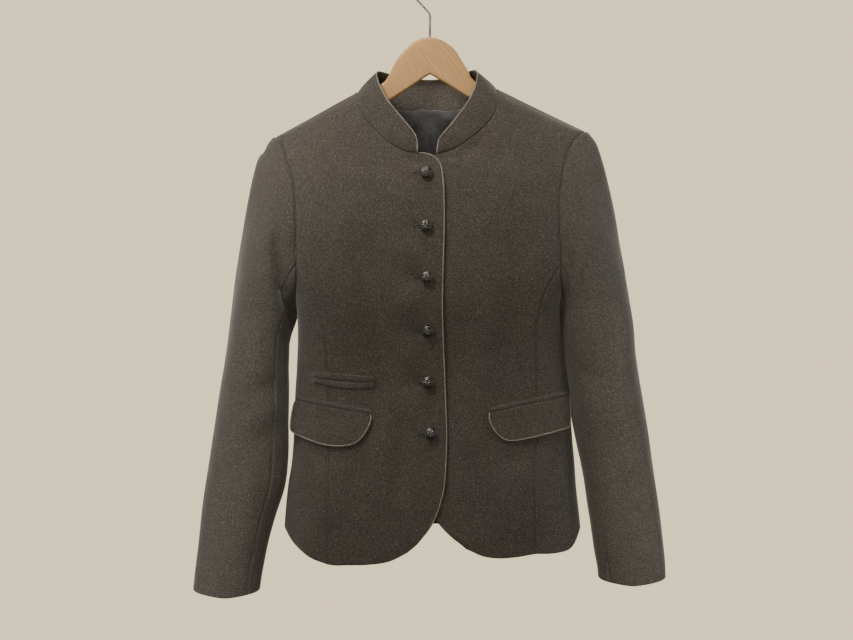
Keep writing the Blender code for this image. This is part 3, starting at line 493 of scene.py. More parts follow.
    def side_panel(self, side: Side, front: np.ndarray, rear: np.ndarray) -> np.ndarray:
        """Grid of the side panel between the long seams.

        Args:
            side: The wearer's side.
            front: Grid of the front panel.
            rear: Grid of the back panel.

        Returns:
            The grid of points.
        """
        low = self.armhole(side, False)[:self.turn_spans + 1][::-1]
        low += self.armhole(side, True)[1:self.turn_spans + 1]
        seams = []
        for back in (False, True):
            edge = self.outer_edge(side, back)[:self.lower_spans + 1][::-1]
            seams.append((np.array([e["drop"] for e in edge]),
                          np.array([e["girth"] for e in edge])))
        grid = np.zeros((self.lower_spans + 1, len(low), 3))
        for c, (top_girth, top_drop) in enumerate(low):
            t = c / (len(low) - 1)

            def girth_between(drop: float) -> float:
                """Girth at this column's share of the way between the two seams."""
                first, second = (np.interp(drop, *seam) for seam in seams)
                return first + (second - first) * t

            start = seams[0][1][-1] + (seams[1][1][-1] - seams[0][1][-1]) * t
            start_x = abs(self.point(start, self.back_hem_drop, side)[0])
            bottom = self.hem_drop(start_x, side, start > 1.0)
            lean = top_girth - girth_between(top_drop)
            for i in range(self.lower_spans + 1):
                share = (i / self.lower_spans) ** self.lower_spread
                drop = bottom + (top_drop - bottom) * share
                grid[i, c] = self.point(girth_between(drop) + lean * share ** 3, drop, side)
        grid[:, 0] = front[:self.lower_spans + 1, -1]
        grid[:, -1] = rear[:self.lower_spans + 1, -1]
        loop = self.armhole_loop(side)
        turn = self.turn_spans
        grid[-1] = np.concatenate([loop[:turn + 1][::-1], loop[-turn - 1:-1][::-1]])
        return grid


@dataclass
class SleeveForm:
    """The tube that a sleeve's two pieces are cut from, fanned up to the armhole."""

    body: JacketForm
    rings: dict[Side, Table] = field(default_factory=lambda: {
        Side.RIGHT: table("drop inner outer half_depth middle_y", [
            (456, 181, 264, 58, -1), (479, 189, 267.2, 58, -2), (513, 188.5, 272.2, 56, -4),
            (560, 187.5, 279.5, 53, -7), (602, 187.5, 285.7, 49, -11),
            (644, 187.8, 291.8, 45, -15), (684, 191.5, 297.9, 42, -20), (724, 204, 303, 39, -25),
            (765, 215, 307.2, 36, -29), (800, 221.6, 311, 34, -32), (826, 224.5, 313, 33, -34)]),
        Side.LEFT: table("drop inner outer half_depth middle_y", [
            (450, 173.5, 263.5, 58, -1), (474, 173.8, 267.5, 58, -2), (508, 177.5, 272.7, 56, -4),
            (550, 183.5, 279.6, 53, -7), (590, 189.5, 285.9, 49, -11), (630, 196, 291.7, 45, -15),
            (675, 204.4, 298.6, 42, -20), (714, 211.5, 303.7, 39, -25),
            (752, 217.3, 307.8, 36, -29), (786, 220.8, 311, 34, -32), (810, 222, 312, 33, -34)])})
    squareness: float = 2.3
    cap_steps: tuple[float, ...] = (0.22, 0.42, 0.62, 0.8, 0.92, 1.0)
    cap_rise: float = 0.38
    cap_puff: float = 0.13
    cap_out: float = 0.92
    cap_spread: float = 0.42
    cap_fall: float = 0.16
    back_seam: int = 25

    def grid(self, side: Side) -> np.ndarray:
        """Tube of a sleeve, cuff row first, round from the underarm over the front.

        Args:
            side: The wearer's side.

        Returns:
            The grid of points.
        """
        loop = self.body.armhole_loop(side)
        lengths = np.concatenate([[0.0], np.cumsum(np.linalg.norm(np.diff(loop, axis=0),
                                                                  axis=1))])
        top = self.body.turn_spans + self.body.upper_spans
        angle = np.where(np.arange(len(loop)) <= top, math.pi * lengths / lengths[top],
                         math.pi + math.pi * (lengths - lengths[top])
                         / (lengths[-1] - lengths[top]))
        bulge = 2 / self.squareness
        c = np.sign(np.cos(angle)) * np.abs(np.cos(angle)) ** bulge
        s = np.sign(np.sin(angle)) * np.abs(np.sin(angle)) ** bulge
        rings = self.rings[side]
        rows = []
        for drop, inner, outer, half_depth, middle_y in zip(*rings.values()):
            half = (outer - inner) / 2
            ring = np.stack([side.value * (inner + half - half * c), middle_y - half_depth * s,
                             np.full(len(loop), -drop)], axis=1)
            ring[-1] = ring[0]
            rows.insert(0, ring)
        base = rows[-1]
        reach = np.linalg.norm(loop - base, axis=1)[:, None]
        fall = self.cap_fall * (1 - np.cos(angle)) / 2
        outward = np.stack([np.full(len(loop), self.cap_out * side.value),
                            -self.cap_spread * np.sin(angle), -fall], axis=1)
        lean = np.stack([-side.value * fall, np.zeros(len(loop)), np.ones(len(loop))], axis=1)
        first = base + lean * reach * self.cap_rise
        second = loop + outward * reach * self.cap_puff
        for t in self.cap_steps:
            rows.append((1 - t) ** 3 * base + 3 * (1 - t) ** 2 * t * first
                        + 3 * (1 - t) * t * t * second + t ** 3 * loop)
        rows[-1] = loop
        return np.array(rows)

    def outward(self, points: np.ndarray, side: Side) -> np.ndarray:
        """Unit ways out from the sleeve's middle line.

        Args:
            points: Points on the sleeve.
            side: The wearer's side.

        Returns:
            One vector for each point.
        """
        rings = self.rings[side]
        drop = -points[..., 2]
        middle = (rings["inner"] + rings["outer"]) / 2 * side.value
        away = np.stack([points[..., 0] - np.interp(drop, rings["drop"], middle),
                         points[..., 1] - np.interp(drop, rings["drop"], rings["middle_y"]),
                         np.zeros_like(drop)], axis=-1)
        return unit(away)


@dataclass(frozen=True)
class Crease:
    """One soft ridge or trough, laid along a given path seen from the front or the back."""

    path: tuple[tuple[float, float], ...]
    depth: float
    width: float
    face: Face = Face.FRONT

    def height(self, points: np.ndarray, outward: np.ndarray) -> np.ndarray:
        """How far the crease moves each point out.

        Args:
            points: Points of the cloth.
            outward: Unit ways out at the points.

        Returns:
            One height for each point.
        """
        flat = np.stack([points[..., 0], -points[..., 2]], axis=-1)
        line = np.array(self.path, float)
        steps = np.diff(line, axis=0)
        lengths = np.linalg.norm(steps, axis=1)
        before = np.concatenate([[0.0], np.cumsum(lengths)])
        best = np.full(flat.shape[:-1], 1e9)
        place = np.zeros(flat.shape[:-1])
        for i, step in enumerate(steps):
            t = np.clip(((flat - line[i]) @ step) / lengths[i] ** 2, 0.0, 1.0)
            gap = np.linalg.norm(flat - line[i] - t[..., None] * step, axis=-1)
            nearer = gap < best
            best = np.where(nearer, gap, best)
            place = np.where(nearer, (before[i] + t * lengths[i]) / before[-1], place)
        taper = smooth_step(place / 0.3) * smooth_step((1.0 - place) / 0.3)
        facing = smooth_step(outward[..., 1] * self.face.value * 1.6 + 0.2)
        return self.depth * taper * facing * np.exp(-(best / self.width) ** 2)


@dataclass
class Drape:
    """The folds and unevenness of the hanging cloth."""

    form: JacketForm
    sleeve_form: SleeveForm
    calm_edge: float = 26.0
    ripple: float = 0.55
    body_creases: tuple[Crease, ...] = (
        Crease(((-98, 300), (-86, 400), (-66, 500), (-52, 650)), -2.4, 17),
        Crease(((-125, 300), (-112, 420), (-98, 520)), 2.0, 22),
        Crease(((-42, 560), (-38, 640), (-36, 720)), -2.6, 13),
        Crease(((-68, 590), (-64, 650), (-66, 730)), 1.6, 16),
        Crease(((-142, 640), (-132, 690), (-128, 750)), 2.4, 22),
        Crease(((44, 440), (46, 500), (40, 560)), -2.0, 10),
        Crease(((70, 430), (72, 520), (66, 600)), 1.4, 16),
        Crease(((108, 235), (98, 300), (88, 370)), 1.8, 20),
        Crease(((128, 330), (118, 420), (108, 500)), -1.4, 16),
        Crease(((60, 620), (58, 690), (70, 760)), -1.6, 18),
        Crease(((112, 640), (120, 700), (118, 765)), 2.0, 22),
        Crease(((-44, 243), (-26, 250), (-4, 262)), -1.4, 6),
        Crease(((30, 252), (55, 238), (78, 216)), -1.4, 7),
        Crease(((-60, 306), (-30, 305), (-6, 306)), 0.9, 15),
        Crease(((-62, 375), (-30, 374), (-6, 375)), 1.1, 16),
        Crease(((-58, 444), (-30, 444), (-6, 444)), 1.2, 16),
        Crease(((-50, 512), (-28, 513), (-6, 513)), 1.1, 16),
        Crease(((-60, 580), (-28, 580), (-4, 580)), 0.9, 15),
        Crease(((-46, 341), (-20, 341), (2, 341)), -0.9, 9),
        Crease(((-48, 409), (-20, 409), (2, 409)), -1.1, 9),
        Crease(((-48, 479), (-20, 479), (2, 479)), -1.1, 9),
        Crease(((-42, 547), (-18, 547), (4, 547)), -0.9, 9),
        Crease(((-60, 330), (-72, 420), (-66, 500)), -1.8, 15, Face.BACK),
        Crease(((66, 320), (74, 410), (64, 510)), -1.6, 17, Face.BACK),
        Crease(((-30, 470), (0, 482), (34, 474)), -1.6, 9, Face.BACK),
        Crease(((-40, 500), (-4, 512), (28, 506)), 1.2, 12, Face.BACK),
        Crease(((-92, 600), (-84, 670), (-88, 735)), 2.2, 22, Face.BACK),
        Crease(((-34, 610), (-30, 680), (-36, 735)), -1.8, 18, Face.BACK),
        Crease(((46, 590), (44, 660), (50, 735)), 1.8, 20, Face.BACK),
        Crease(((98, 600), (96, 670), (102, 735)), -2.0, 18, Face.BACK),
        Crease(((-120, 250), (-104, 300), (-100, 360)), 1.4, 18, Face.BACK),
        Crease(((118, 245), (106, 300), (98, 350)), 1.6, 18, Face.BACK))
    sleeve_creases: dict[Side, tuple[Crease, ...]] = field(default_factory=lambda: {
        Side.RIGHT: (
            Crease(((-205, 325), (-194, 400), (-189, 448), (-186, 500)), -5.0, 9),
            Crease(((-222, 320), (-212, 400), (-208, 470)), 2.2, 13),
            Crease(((-250, 360), (-252, 440), (-246, 520)), -1.4, 16),
            Crease(((-196, 540), (-222, 556), (-246, 560)), -1.8, 9),
            Crease(((-194, 575), (-216, 590), (-238, 600)), 1.4, 11),
            Crease(((-196, 610), (-224, 622), (-250, 618)), -1.2, 9),
            Crease(((-236, 640), (-240, 720), (-256, 800)), 1.6, 15),
            Crease(((-262, 650), (-272, 730), (-284, 800)), -1.3, 13),
            Crease(((-262, 470), (-240, 490), (-214, 494)), -2.0, 9, Face.BACK),
            Crease(((-272, 530), (-246, 552), (-216, 556)), -2.4, 10, Face.BACK),
            Crease(((-276, 575), (-250, 590), (-222, 596)), 1.6, 11, Face.BACK),
            Crease(((-246, 660), (-258, 730), (-268, 790)), -1.6, 14, Face.BACK)),
        Side.LEFT: (
            Crease(((216, 300), (206, 370), (196, 430)), 2.0, 13),
            Crease(((199, 310), (190, 370), (183, 420)), -2.6, 8),
            Crease(((226, 380), (232, 480), (242, 590)), -1.6, 17),
            Crease(((256, 350), (262, 440), (266, 520)), 1.3, 15),
            Crease(((192, 520), (212, 538), (238, 542)), -1.6, 9),
            Crease(((196, 566), (220, 580), (244, 584)), 1.2, 11),
            Crease(((218, 640), (232, 720), (246, 790)), 1.5, 15),
            Crease(((270, 640), (280, 720), (288, 790)), -1.2, 13),
            Crease(((258, 460), (236, 482), (208, 488)), -2.2, 9, Face.BACK),
            Crease(((272, 536), (246, 548), (214, 556)), -2.0, 10, Face.BACK),
            Crease(((274, 590), (252, 600), (226, 602)), 1.5, 11, Face.BACK),
            Crease(((248, 650), (260, 720), (270, 780)), -1.5, 14, Face.BACK))})

    sleeve_press: dict[Side, Table] = field(default_factory=lambda: {
        Side.RIGHT: table("drop inner outer", [
            (190, 0, 1.5), (250, 0, 3.5), (320, 0, 3), (425, 0, 2), (450, 8.5, 1.5),
            (474, 8, 1), (498, 2, 0.5), (530, 0, 0), (860, 0, 0)]),
        Side.LEFT: table("drop inner outer", [
            (190, 0, 0), (300, 0, 1.5), (395, 0, 3), (430, 4, 3), (455, 5, 2.5), (500, 2.5, 1),
            (550, 0.5, 0), (600, 2.5, 0), (624, 1, 0), (650, 0, 0), (675, 0.5, 0),
            (705, 2.5, 0), (750, 3, 0), (770, 2.2, 0), (795, 0, 0), (860, 0, 0)])})
    side_ease: dict[Side, Table] = field(default_factory=lambda: {
        Side.RIGHT: table("drop shift", [(400, 0), (860, 0)]),
        Side.LEFT: table("drop shift", [
            (420, 0), (450, 3), (480, 5.5), (520, 7), (560, 6.5), (590, 5), (610, 3.3),
            (630, 1.8), (660, 0.8), (700, 0)])})
    ease_from: float = 105.0
    ease_over: float = 60.0
    fold_scale: float = 1.75
    cuff_lift: float = 10.5
    cuff_drop: float = 3.8

    def __post_init__(self) -> None:
        """Work out the lines where the folds die out."""
        self.armholes = {side: self.form.armhole_loop(side) for side in Side}
        self.neck = self.neck_line()

    def waves(self, points: np.ndarray) -> np.ndarray:
        """Slight unevenness of pressed wool, the same on each run."""
        x, y, z = points[..., 0], points[..., 1], points[..., 2]
        total = (np.sin(x / 19 + z / 41 + 0.4) * 0.5 + np.sin(z / 23 - x / 57 + 1.9) * 0.45
                 + np.sin(x / 11 - z / 29 + y / 17) * 0.25 + np.sin(z / 13 + y / 21 + 0.7) * 0.2)
        return total * self.ripple

    def calm(self, points: np.ndarray, loops: list[np.ndarray]) -> np.ndarray:
        """Share of the folds that is left near the armholes, from 0 on them to 1.

        Args:
            points: Points of the cloth.
            loops: Points along the armholes.

        Returns:
            One share for each point.
        """
        flat = points.reshape(-1, 3)
        nearest = np.full(len(flat), 1e9)
        for loop in loops:
            gap = np.linalg.norm(flat[:, None, :] - loop[None, :, :], axis=2).min(axis=1)
            nearest = np.minimum(nearest, gap)
        return smooth_step(nearest / self.calm_edge).reshape(points.shape[:-1])

    def body(self, points: np.ndarray) -> np.ndarray:
        """Body points moved by the folds.

        Args:
            points: Points on the body's form.

        Returns:
            The moved points.
        """
        x, y = points[..., 0], points[..., 1]
        outward = unit(np.stack([(x / 190) ** 5 / 4, y / 55, np.zeros_like(x)], axis=-1))
        height = self.waves(points)
        for crease in self.body_creases:
            height = height + self.fold_scale * crease.height(points, outward)
        calm = self.calm(points, list(self.armholes.values()))
        height *= calm * smooth_step(self.calm(points, [self.neck]) * 1.5 + 0.1)
        moved = points + outward * height[..., None]
        at_side = smooth_step((np.abs(x) - self.ease_from) / self.ease_over) * calm
        for side, ease in self.side_ease.items():
            here = np.where(x * side.value > 0, at_side, 0.0)
            moved[..., 0] += side.value * here * np.interp(-points[..., 2], ease["drop"],
                                                           ease["shift"])
        return moved

    def neck_line(self) -> np.ndarray:
        """Points along the neck seam, where folds die out."""
        line = [self.form.point(self.form.girth_at(x, d, side, back), d, side)
                for side in Side
                for rows, back in ((self.form.front_collar[side], False),
                                   (self.form.back_collar[side], True))
                for x, d in zip(rows["x"], rows["drop"])]
        return np.array(line)

    def sleeve(self, points: np.ndarray, side: Side) -> np.ndarray:
        """Sleeve points moved by the folds.

        Args:
            points: Points on the sleeve's form.
            side: The wearer's side.

        Returns:
            The moved points.
        """
        outward = self.sleeve_form.outward(points, side)
        height = self.waves(points)
        for crease in self.sleeve_creases[side]:
            height = height + self.fold_scale * crease.height(points, outward)
        calm = self.calm(points, [self.armholes[side]])
        moved = points + outward * (height * calm)[..., None]
        press = self.sleeve_press[side]
        away = outward[..., 0] * side.value
        drop = -points[..., 2]
        shift = (((1 + away) / 2) ** 1.5 * np.interp(drop, press["drop"], press["outer"])
                 - ((1 - away) / 2) ** 1.5 * np.interp(drop, press["drop"], press["inner"]))
        moved[..., 0] += side.value * shift * calm
        rings = self.sleeve_form.rings[side]["drop"]
        low = np.clip((-points[..., 2] - rings[-3]) / (rings[-1] - rings[-3]), 0, 1) ** 2
        lift = self.cuff_lift * np.clip(1.0 + outward[..., 1], 0, 1) ** 0.8 - self.cuff_drop
        moved[..., 2] += low * lift
        return moved


class Recipe:
    """Node tree of one material, with short calls for the textures that the finishes share."""

    def __init__(self, name: str, **sockets: float | tuple) -> None:
        """Start a material.

        Args:
            name: Name of the material.
            **sockets: Constant values of the shader's sockets, with _ for spaces.
        """
        self.material = bpy.data.materials.new(name)
        self.material.use_nodes = True
        self.nodes = self.material.node_tree.nodes
        self.links = self.material.node_tree.links
        self.shader = self.nodes["Principled BSDF"]
        for socket, value in sockets.items():
            self.shader.inputs[socket.replace("_", " ")].default_value = value
        self.place = self.nodes.new("ShaderNodeTexCoord").outputs["Object"]

    def node(self, kind: str, inputs: dict, **settings: object) -> bpy.types.Node:
        """Add a node.

        Args:
            kind: Blender's name of the node.
            inputs: Values or sockets for its inputs.
            **settings: Settings of the node itself.

        Returns:
            The node.
        """
        made = self.nodes.new(kind)
        for key, value in settings.items():
            setattr(made, key, value)
        for key, value in inputs.items():
            if isinstance(value, bpy.types.NodeSocket):
                self.links.new(value, made.inputs[key])
            else:
                made.inputs[key].default_value = value
        return made

    def stretched(self, scale: tuple, turn: tuple = (0.0, 0.0, 0.0)) -> bpy.types.NodeSocket:
        """Place on the object, turned and then scaled."""
        turned = self.node("ShaderNodeMapping", {"Vector": self.place, "Rotation": turn})
        return self.node("ShaderNodeMapping", {"Vector": turned.outputs["Vector"],
                                               "Scale": scale}).outputs["Vector"]

    def noise(self, scale: float, detail: float = 2.0, place: object = None,
              distortion: float = 0.0) -> bpy.types.NodeSocket:
        """Noise between 0 and 1.

        Args:
            scale: Grains for each metre.
            detail: Octaves.
            place: Where it is read, or None for the object's own place.
            distortion: How far it is warped.

        Returns:
            The value's socket.
        """
        return self.node("ShaderNodeTexNoise", {
            "Vector": place or self.place, "Scale": scale, "Detail": detail,
            "Distortion": distortion}).outputs["Fac"]

    def wave(self, scale: float, place: bpy.types.NodeSocket, distortion: float = 0.0,
             detail_scale: float = 1.0) -> bpy.types.NodeSocket:
        """Sine bands along the place's x.

        Args:
            scale: Bands for each unit.
            place: Where they are read.
            distortion: How far they wander.
            detail_scale: Size of what they wander by.

        Returns:
            The value's socket.
        """
        return self.node("ShaderNodeTexWave", {
            "Vector": place, "Scale": scale, "Distortion": distortion, "Detail": 2.0,
            "Detail Scale": detail_scale}, bands_direction="X").outputs["Fac"]

    def ramp(self, value: bpy.types.NodeSocket,
             stops: list[tuple[float, tuple]]) -> bpy.types.NodeSocket:
        """Colour read off a ramp.

        Args:
            value: What picks the colour.
            stops: Places and linear colours.

        Returns:
            The colour's socket.
        """
        made = self.node("ShaderNodeValToRGB", {"Fac": value})
        elements = made.color_ramp.elements
        while len(elements) < len(stops):
            elements.new(0.5)
        for element, (place, colour) in zip(elements, stops):
            element.position = place
            element.color = (*colour, 1.0)
        return made.outputs["Color"]

    def mix(self, share: float | bpy.types.NodeSocket, first: object, second: object,
            mode: str = "MIX") -> bpy.types.NodeSocket:
        """Two colours mixed.

        Args:
            share: How much of the second.
            first: Colour or socket.
            second: Colour or socket.
            mode: How they are mixed.

        Returns:
            The colour's socket.
        """
        colours = [(*c, 1.0) if isinstance(c, tuple) and len(c) == 3 else c
                   for c in (first, second)]
        made = self.node("ShaderNodeMixRGB", {"Fac": share, "Color1": colours[0],
                                              "Color2": colours[1]}, blend_type=mode)
        return made.outputs["Color"]

    def add(self, first: object, second: object, mode: str = "ADD") -> bpy.types.NodeSocket:
        """Two numbers combined."""
        return self.node("ShaderNodeMath", {0: first, 1: second}, operation=mode).outputs[0]

    def band(self, value: bpy.types.NodeSocket, low: float, high: float,
             bottom: float, top: float) -> bpy.types.NodeSocket:
        """A number moved from one range to another."""
        return self.node("ShaderNodeMapRange", {
            "Value": value, "From Min": low, "From Max": high, "To Min": bottom,
            "To Max": top}).outputs["Result"]

    def colour(self, socket: bpy.types.NodeSocket) -> None:
        """Use a socket as the base colour."""
        self.links.new(socket, self.shader.inputs["Base Color"])

    def roughness(self, socket: bpy.types.NodeSocket) -> None:
        """Use a socket as the roughness."""
        self.links.new(socket, self.shader.inputs["Roughness"])

    def bump(self, height: bpy.types.NodeSocket, strength: float, distance: float) -> None:
        """Raise the surface by a socket.

        Args:
            height: The height's socket.
            strength: How strong it is.
            distance: Height in metres at 1.
        """
        made = self.node("ShaderNodeBump", {"Height": height, "Strength": strength,
                                            "Distance": distance})
        self.links.new(made.outputs["Normal"], self.shader.inputs["Normal"])


@dataclass(frozen=True)
class LodenFinish:
    """Fulled wool twill: mixed fibres, light flecks, a felted nap and a faint diagonal."""

    name: str = "loden"
    dark: tuple = (0.0255, 0.0220, 0.0178)
    middle: tuple = (0.0450, 0.0390, 0.0318)
    light: tuple = (0.086, 0.076, 0.063)
    fleck: tuple = (0.185, 0.170, 0.145)

    def make(self) -> bpy.types.Material:
        """The finished material."""
        r = Recipe(self.name, Roughness=0.9, Sheen_Weight=0.30, Sheen_Roughness=0.42,
                   Sheen_Tint=(0.74, 0.72, 0.70, 1.0), Specular_IOR_Level=0.15)
        down = r.noise(1250.0, 3.0, r.stretched((1.0, 1.0, 0.45), (0.0, 0.5, 0.0)))
        across = r.noise(1150.0, 2.0, r.stretched((1.0, 1.0, 0.45), (0.0, -0.7, 0.0)))
        hairs = r.add(r.add(down, 0.55, "MULTIPLY"), r.add(across, 0.45, "MULTIPLY"))
        tufts = r.noise(560.0, 2.0)
        mixed = r.add(r.add(hairs, 0.75, "MULTIPLY"), r.add(tufts, 0.25, "MULTIPLY"))
        cloth = r.ramp(mixed, [(0.38, self.dark), (0.5, self.middle), (0.63, self.light)])
        specks = r.band(r.noise(820.0, 1.0), 0.66, 0.74, 0.0, 0.6)
        cloth = r.mix(specks, cloth, self.fleck)
        warm = r.band(r.noise(9.0, 3.0), 0.35, 0.65, 0.0, 1.0)
        tone = r.mix(warm, (1.02, 0.997, 0.97), (0.99, 1.0, 1.005))
        cloth = r.mix(1.0, cloth, tone, "MULTIPLY")
        worn = r.band(r.noise(42.0, 4.0), 0.3, 0.7, 0.0, 1.0)
        cloth = r.mix(1.0, cloth, r.mix(worn, (0.95, 0.95, 0.95), (1.05, 1.05, 1.05)), "MULTIPLY")
        r.colour(cloth)
        twill = r.wave(150.0, r.stretched((1.0, 1.0, 1.0), (0.0, 0.79, 0.4)), 1.5, 200.0)
        r.bump(r.add(r.add(mixed, 1.4, "MULTIPLY"), r.add(twill, 0.3, "MULTIPLY")), 0.45, 0.0005)
        return r.material


@dataclass(frozen=True)
class PipingFinish:
    """Light taupe cloth wound round a cord, with a fine cross weave."""

    name: str = "piping"
    base: tuple = (0.130, 0.116, 0.088)
    light: tuple = (0.235, 0.212, 0.165)

    def make(self) -> bpy.types.Material:
        """The finished material."""
        r = Recipe(self.name, Roughness=0.8, Sheen_Weight=0.2, Sheen_Roughness=0.4,
                   Specular_IOR_Level=0.25)
        weave = r.noise(900.0, 2.0)
        uneven = r.noise(60.0, 2.0)
        cloth = r.ramp(weave, [(0.35, self.base), (0.65, self.light)])
        r.colour(r.mix(r.band(uneven, 0.3, 0.7, 0.0, 0.35), cloth, (0.075, 0.066, 0.052)))
        r.bump(weave, 0.4, 0.0003)
        return r.material


@dataclass(frozen=True)
class LiningFinish:
    """Dark satin lining with fine ribs and a soft shine."""

    name: str = "lining"
    dark: tuple = (0.030, 0.029, 0.031)
    light: tuple = (0.100, 0.097, 0.100)

    def make(self) -> bpy.types.Material:
        """The finished material."""
        r = Recipe(self.name, Roughness=0.38, Sheen_Weight=0.25, Sheen_Roughness=0.3,
                   Specular_IOR_Level=0.5)
        ribs = r.noise(420.0, 2.0, r.stretched((1.0, 1.0, 0.12)))
        r.colour(r.ramp(r.add(r.noise(26.0, 2.0), r.add(ribs, 0.4, "MULTIPLY")),
                        [(0.45, self.dark), (0.9, self.light)]))
        r.roughness(r.band(ribs, 0.3, 0.7, 0.32, 0.5))
        r.bump(ribs, 0.2, 0.0002)
        return r.material


@dataclass(frozen=True)
class ThreadFinish:
    """Buttonhole twist and stitching thread in dark brown; near-black, it also serves as painted
    shade in the ticket pocket's mouth and in the lines beside the welts and jets.
    """

    name: str = "thread"

    def make(self) -> bpy.types.Material:
        """The finished material."""
        r = Recipe(self.name, Roughness=0.6, Sheen_Weight=0.2, Specular_IOR_Level=0.35)
        strands = r.noise(1500.0, 1.0, r.stretched((1.0, 1.0, 0.4)))
        r.colour(r.ramp(strands, [(0.35, (0.010, 0.008, 0.006)), (0.65, (0.040, 0.032, 0.024))]))
        r.bump(strands, 0.6, 0.0003)
        return r.material


@dataclass(frozen=True)
class ButtonFinish:
    """Dark antique metal, rubbed brighter on what stands up."""

    name: str = "antique_metal"

    def make(self) -> bpy.types.Material:
        """The finished material."""
        r = Recipe(self.name, Metallic=0.92, Roughness=0.28, Specular_IOR_Level=0.5)
        patina = r.noise(520.0, 4.0)
        raised = r.node("ShaderNodeNewGeometry", {}).outputs["Pointiness"]
        rubbed = r.band(raised, 0.49, 0.56, 0.0, 1.0)
        dark = r.ramp(patina, [(0.35, (0.008, 0.007, 0.0065)), (0.7, (0.028, 0.024, 0.022))])
        r.colour(r.mix(rubbed, dark, (0.20, 0.185, 0.17)))
        r.roughness(r.band(patina, 0.3, 0.7, 0.19, 0.36))
        r.bump(patina, 0.25, 0.0002)
        return r.material


@dataclass(frozen=True)
class BeechFinish:
    """Light beech with fine slanting grain and short dark rays under a clear matt lacquer."""

    name: str = "beech"
    pale: tuple = (0.475, 0.280, 0.104)
    brown: tuple = (0.342, 0.180, 0.063)

    def make(self) -> bpy.types.Material:
        """The finished material."""
        r = Recipe(self.name, Roughness=0.42, Specular_IOR_Level=0.4, Coat_Weight=0.15,
                   Coat_Roughness=0.35)
        slanted = r.stretched((5.5, 1.2, 1.0), (0.0, 0.62, 0.0))
        bands = r.wave(14.0, slanted, 4.5, 2.0)
        grain = r.noise(60.0, 4.0, r.stretched((14.0, 4.0, 1.0), (0.0, 0.62, 0.0)))
        rays = r.band(r.noise(150.0, 1.0, r.stretched((5.0, 5.0, 0.8), (0.0, 0.62, 0.0))),
                      0.62, 0.72, 0.0, 0.5)
        wood = r.ramp(r.add(r.add(bands, 0.35, "MULTIPLY"), r.add(grain, 0.75, "MULTIPLY")),
                      [(0.3, self.pale), (0.8, self.brown)])
        wood = r.mix(rays, wood, (0.27, 0.145, 0.06))
        r.colour(r.mix(r.band(r.noise(9.0, 2.0), 0.3, 0.7, 0.0, 0.3), wood, self.pale))
        r.roughness(r.band(grain, 0.3, 0.7, 0.36, 0.5))
        r.bump(grain, 0.15, 0.0002)
        return r.material


@dataclass(frozen=True)
class SteelFinish:
    """Drawn steel wire, slightly dull."""

    name: str = "steel_wire"

    def make(self) -> bpy.types.Material:
        """The finished material."""
        r = Recipe(self.name, Metallic=1.0, Roughness=0.3)
        marks = r.noise(300.0, 3.0, r.stretched((1.0, 1.0, 0.2)))
        r.colour(r.ramp(marks, [(0.3, (0.22, 0.21, 0.20)), (0.7, (0.40, 0.385, 0.37))]))
        r.roughness(r.band(marks, 0.3, 0.7, 0.30, 0.46))
        r.bump(marks, 0.1, 0.0001)
        return r.material


@dataclass(frozen=True)
class PlasterFinish:
    """Plain pale floor."""

    name: str = "pale_floor"

    def make(self) -> bpy.types.Material:
        """The finished material."""
        r = Recipe(self.name, Roughness=0.9, Specular_IOR_Level=0.1,
                   Emission_Color=(1.0, 0.87, 0.57, 1.0), Emission_Strength=0.9)
        r.colour(r.ramp(r.noise(3.0, 3.0), [(0.3, (0.60, 0.565, 0.46)), (0.7, (0.64, 0.60, 0.49))]))
        return r.material


def add_mesh(name: str, points: np.ndarray, faces: list[tuple],
             finish: bpy.types.Material) -> bpy.types.Object:
    """Make an object from points in millimetres.

    Args:
        name: Name of the object.
        points: Its points.
        faces: Its faces, turned out.
        finish: Its material.

    Returns:
        The object.
    """
    mesh = bpy.data.meshes.new(name)
    mesh.from_pydata((points * MM).tolist(), [], faces)
    mesh.materials.append(finish)
    mesh.shade_smooth()
    mesh.update()
    made = bpy.data.objects.new(name, mesh)
    bpy.context.scene.collection.objects.link(made)
    return made


def dress(piece: bpy.types.Object, slot: str, *nodes: str) -> bpy.types.Object:
    """Put a piece on the part's one body and let it stand for its solids.

    Args:
        piece: The finished piece.
        slot: The record's material slot; not used.
        *nodes: Solids that it replaces.

    Returns:
        The piece.
    """
    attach(piece, "root")
    if nodes:
        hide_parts(*nodes)
    LOG.info("%s: %d faces", piece.name, len(piece.data.polygons))
    return piece


def turned_out(points: np.ndarray, faces: list[tuple]) -> list[tuple]:
    """Faces of a closed form, turned round if they face in.

    Args:
        points: The form's points.
        faces: Its faces, all turned alike.

    Returns:
        The faces, turned out.
    """
    volume = 0.0
    for face in faces:
        a = points[face[0]]
        for second, third in zip(face[1:-1], face[2:]):
            volume += np.dot(a, np.cross(points[second], points[third]))
    return faces if volume > 0 else [tuple(reversed(face)) for face in faces]


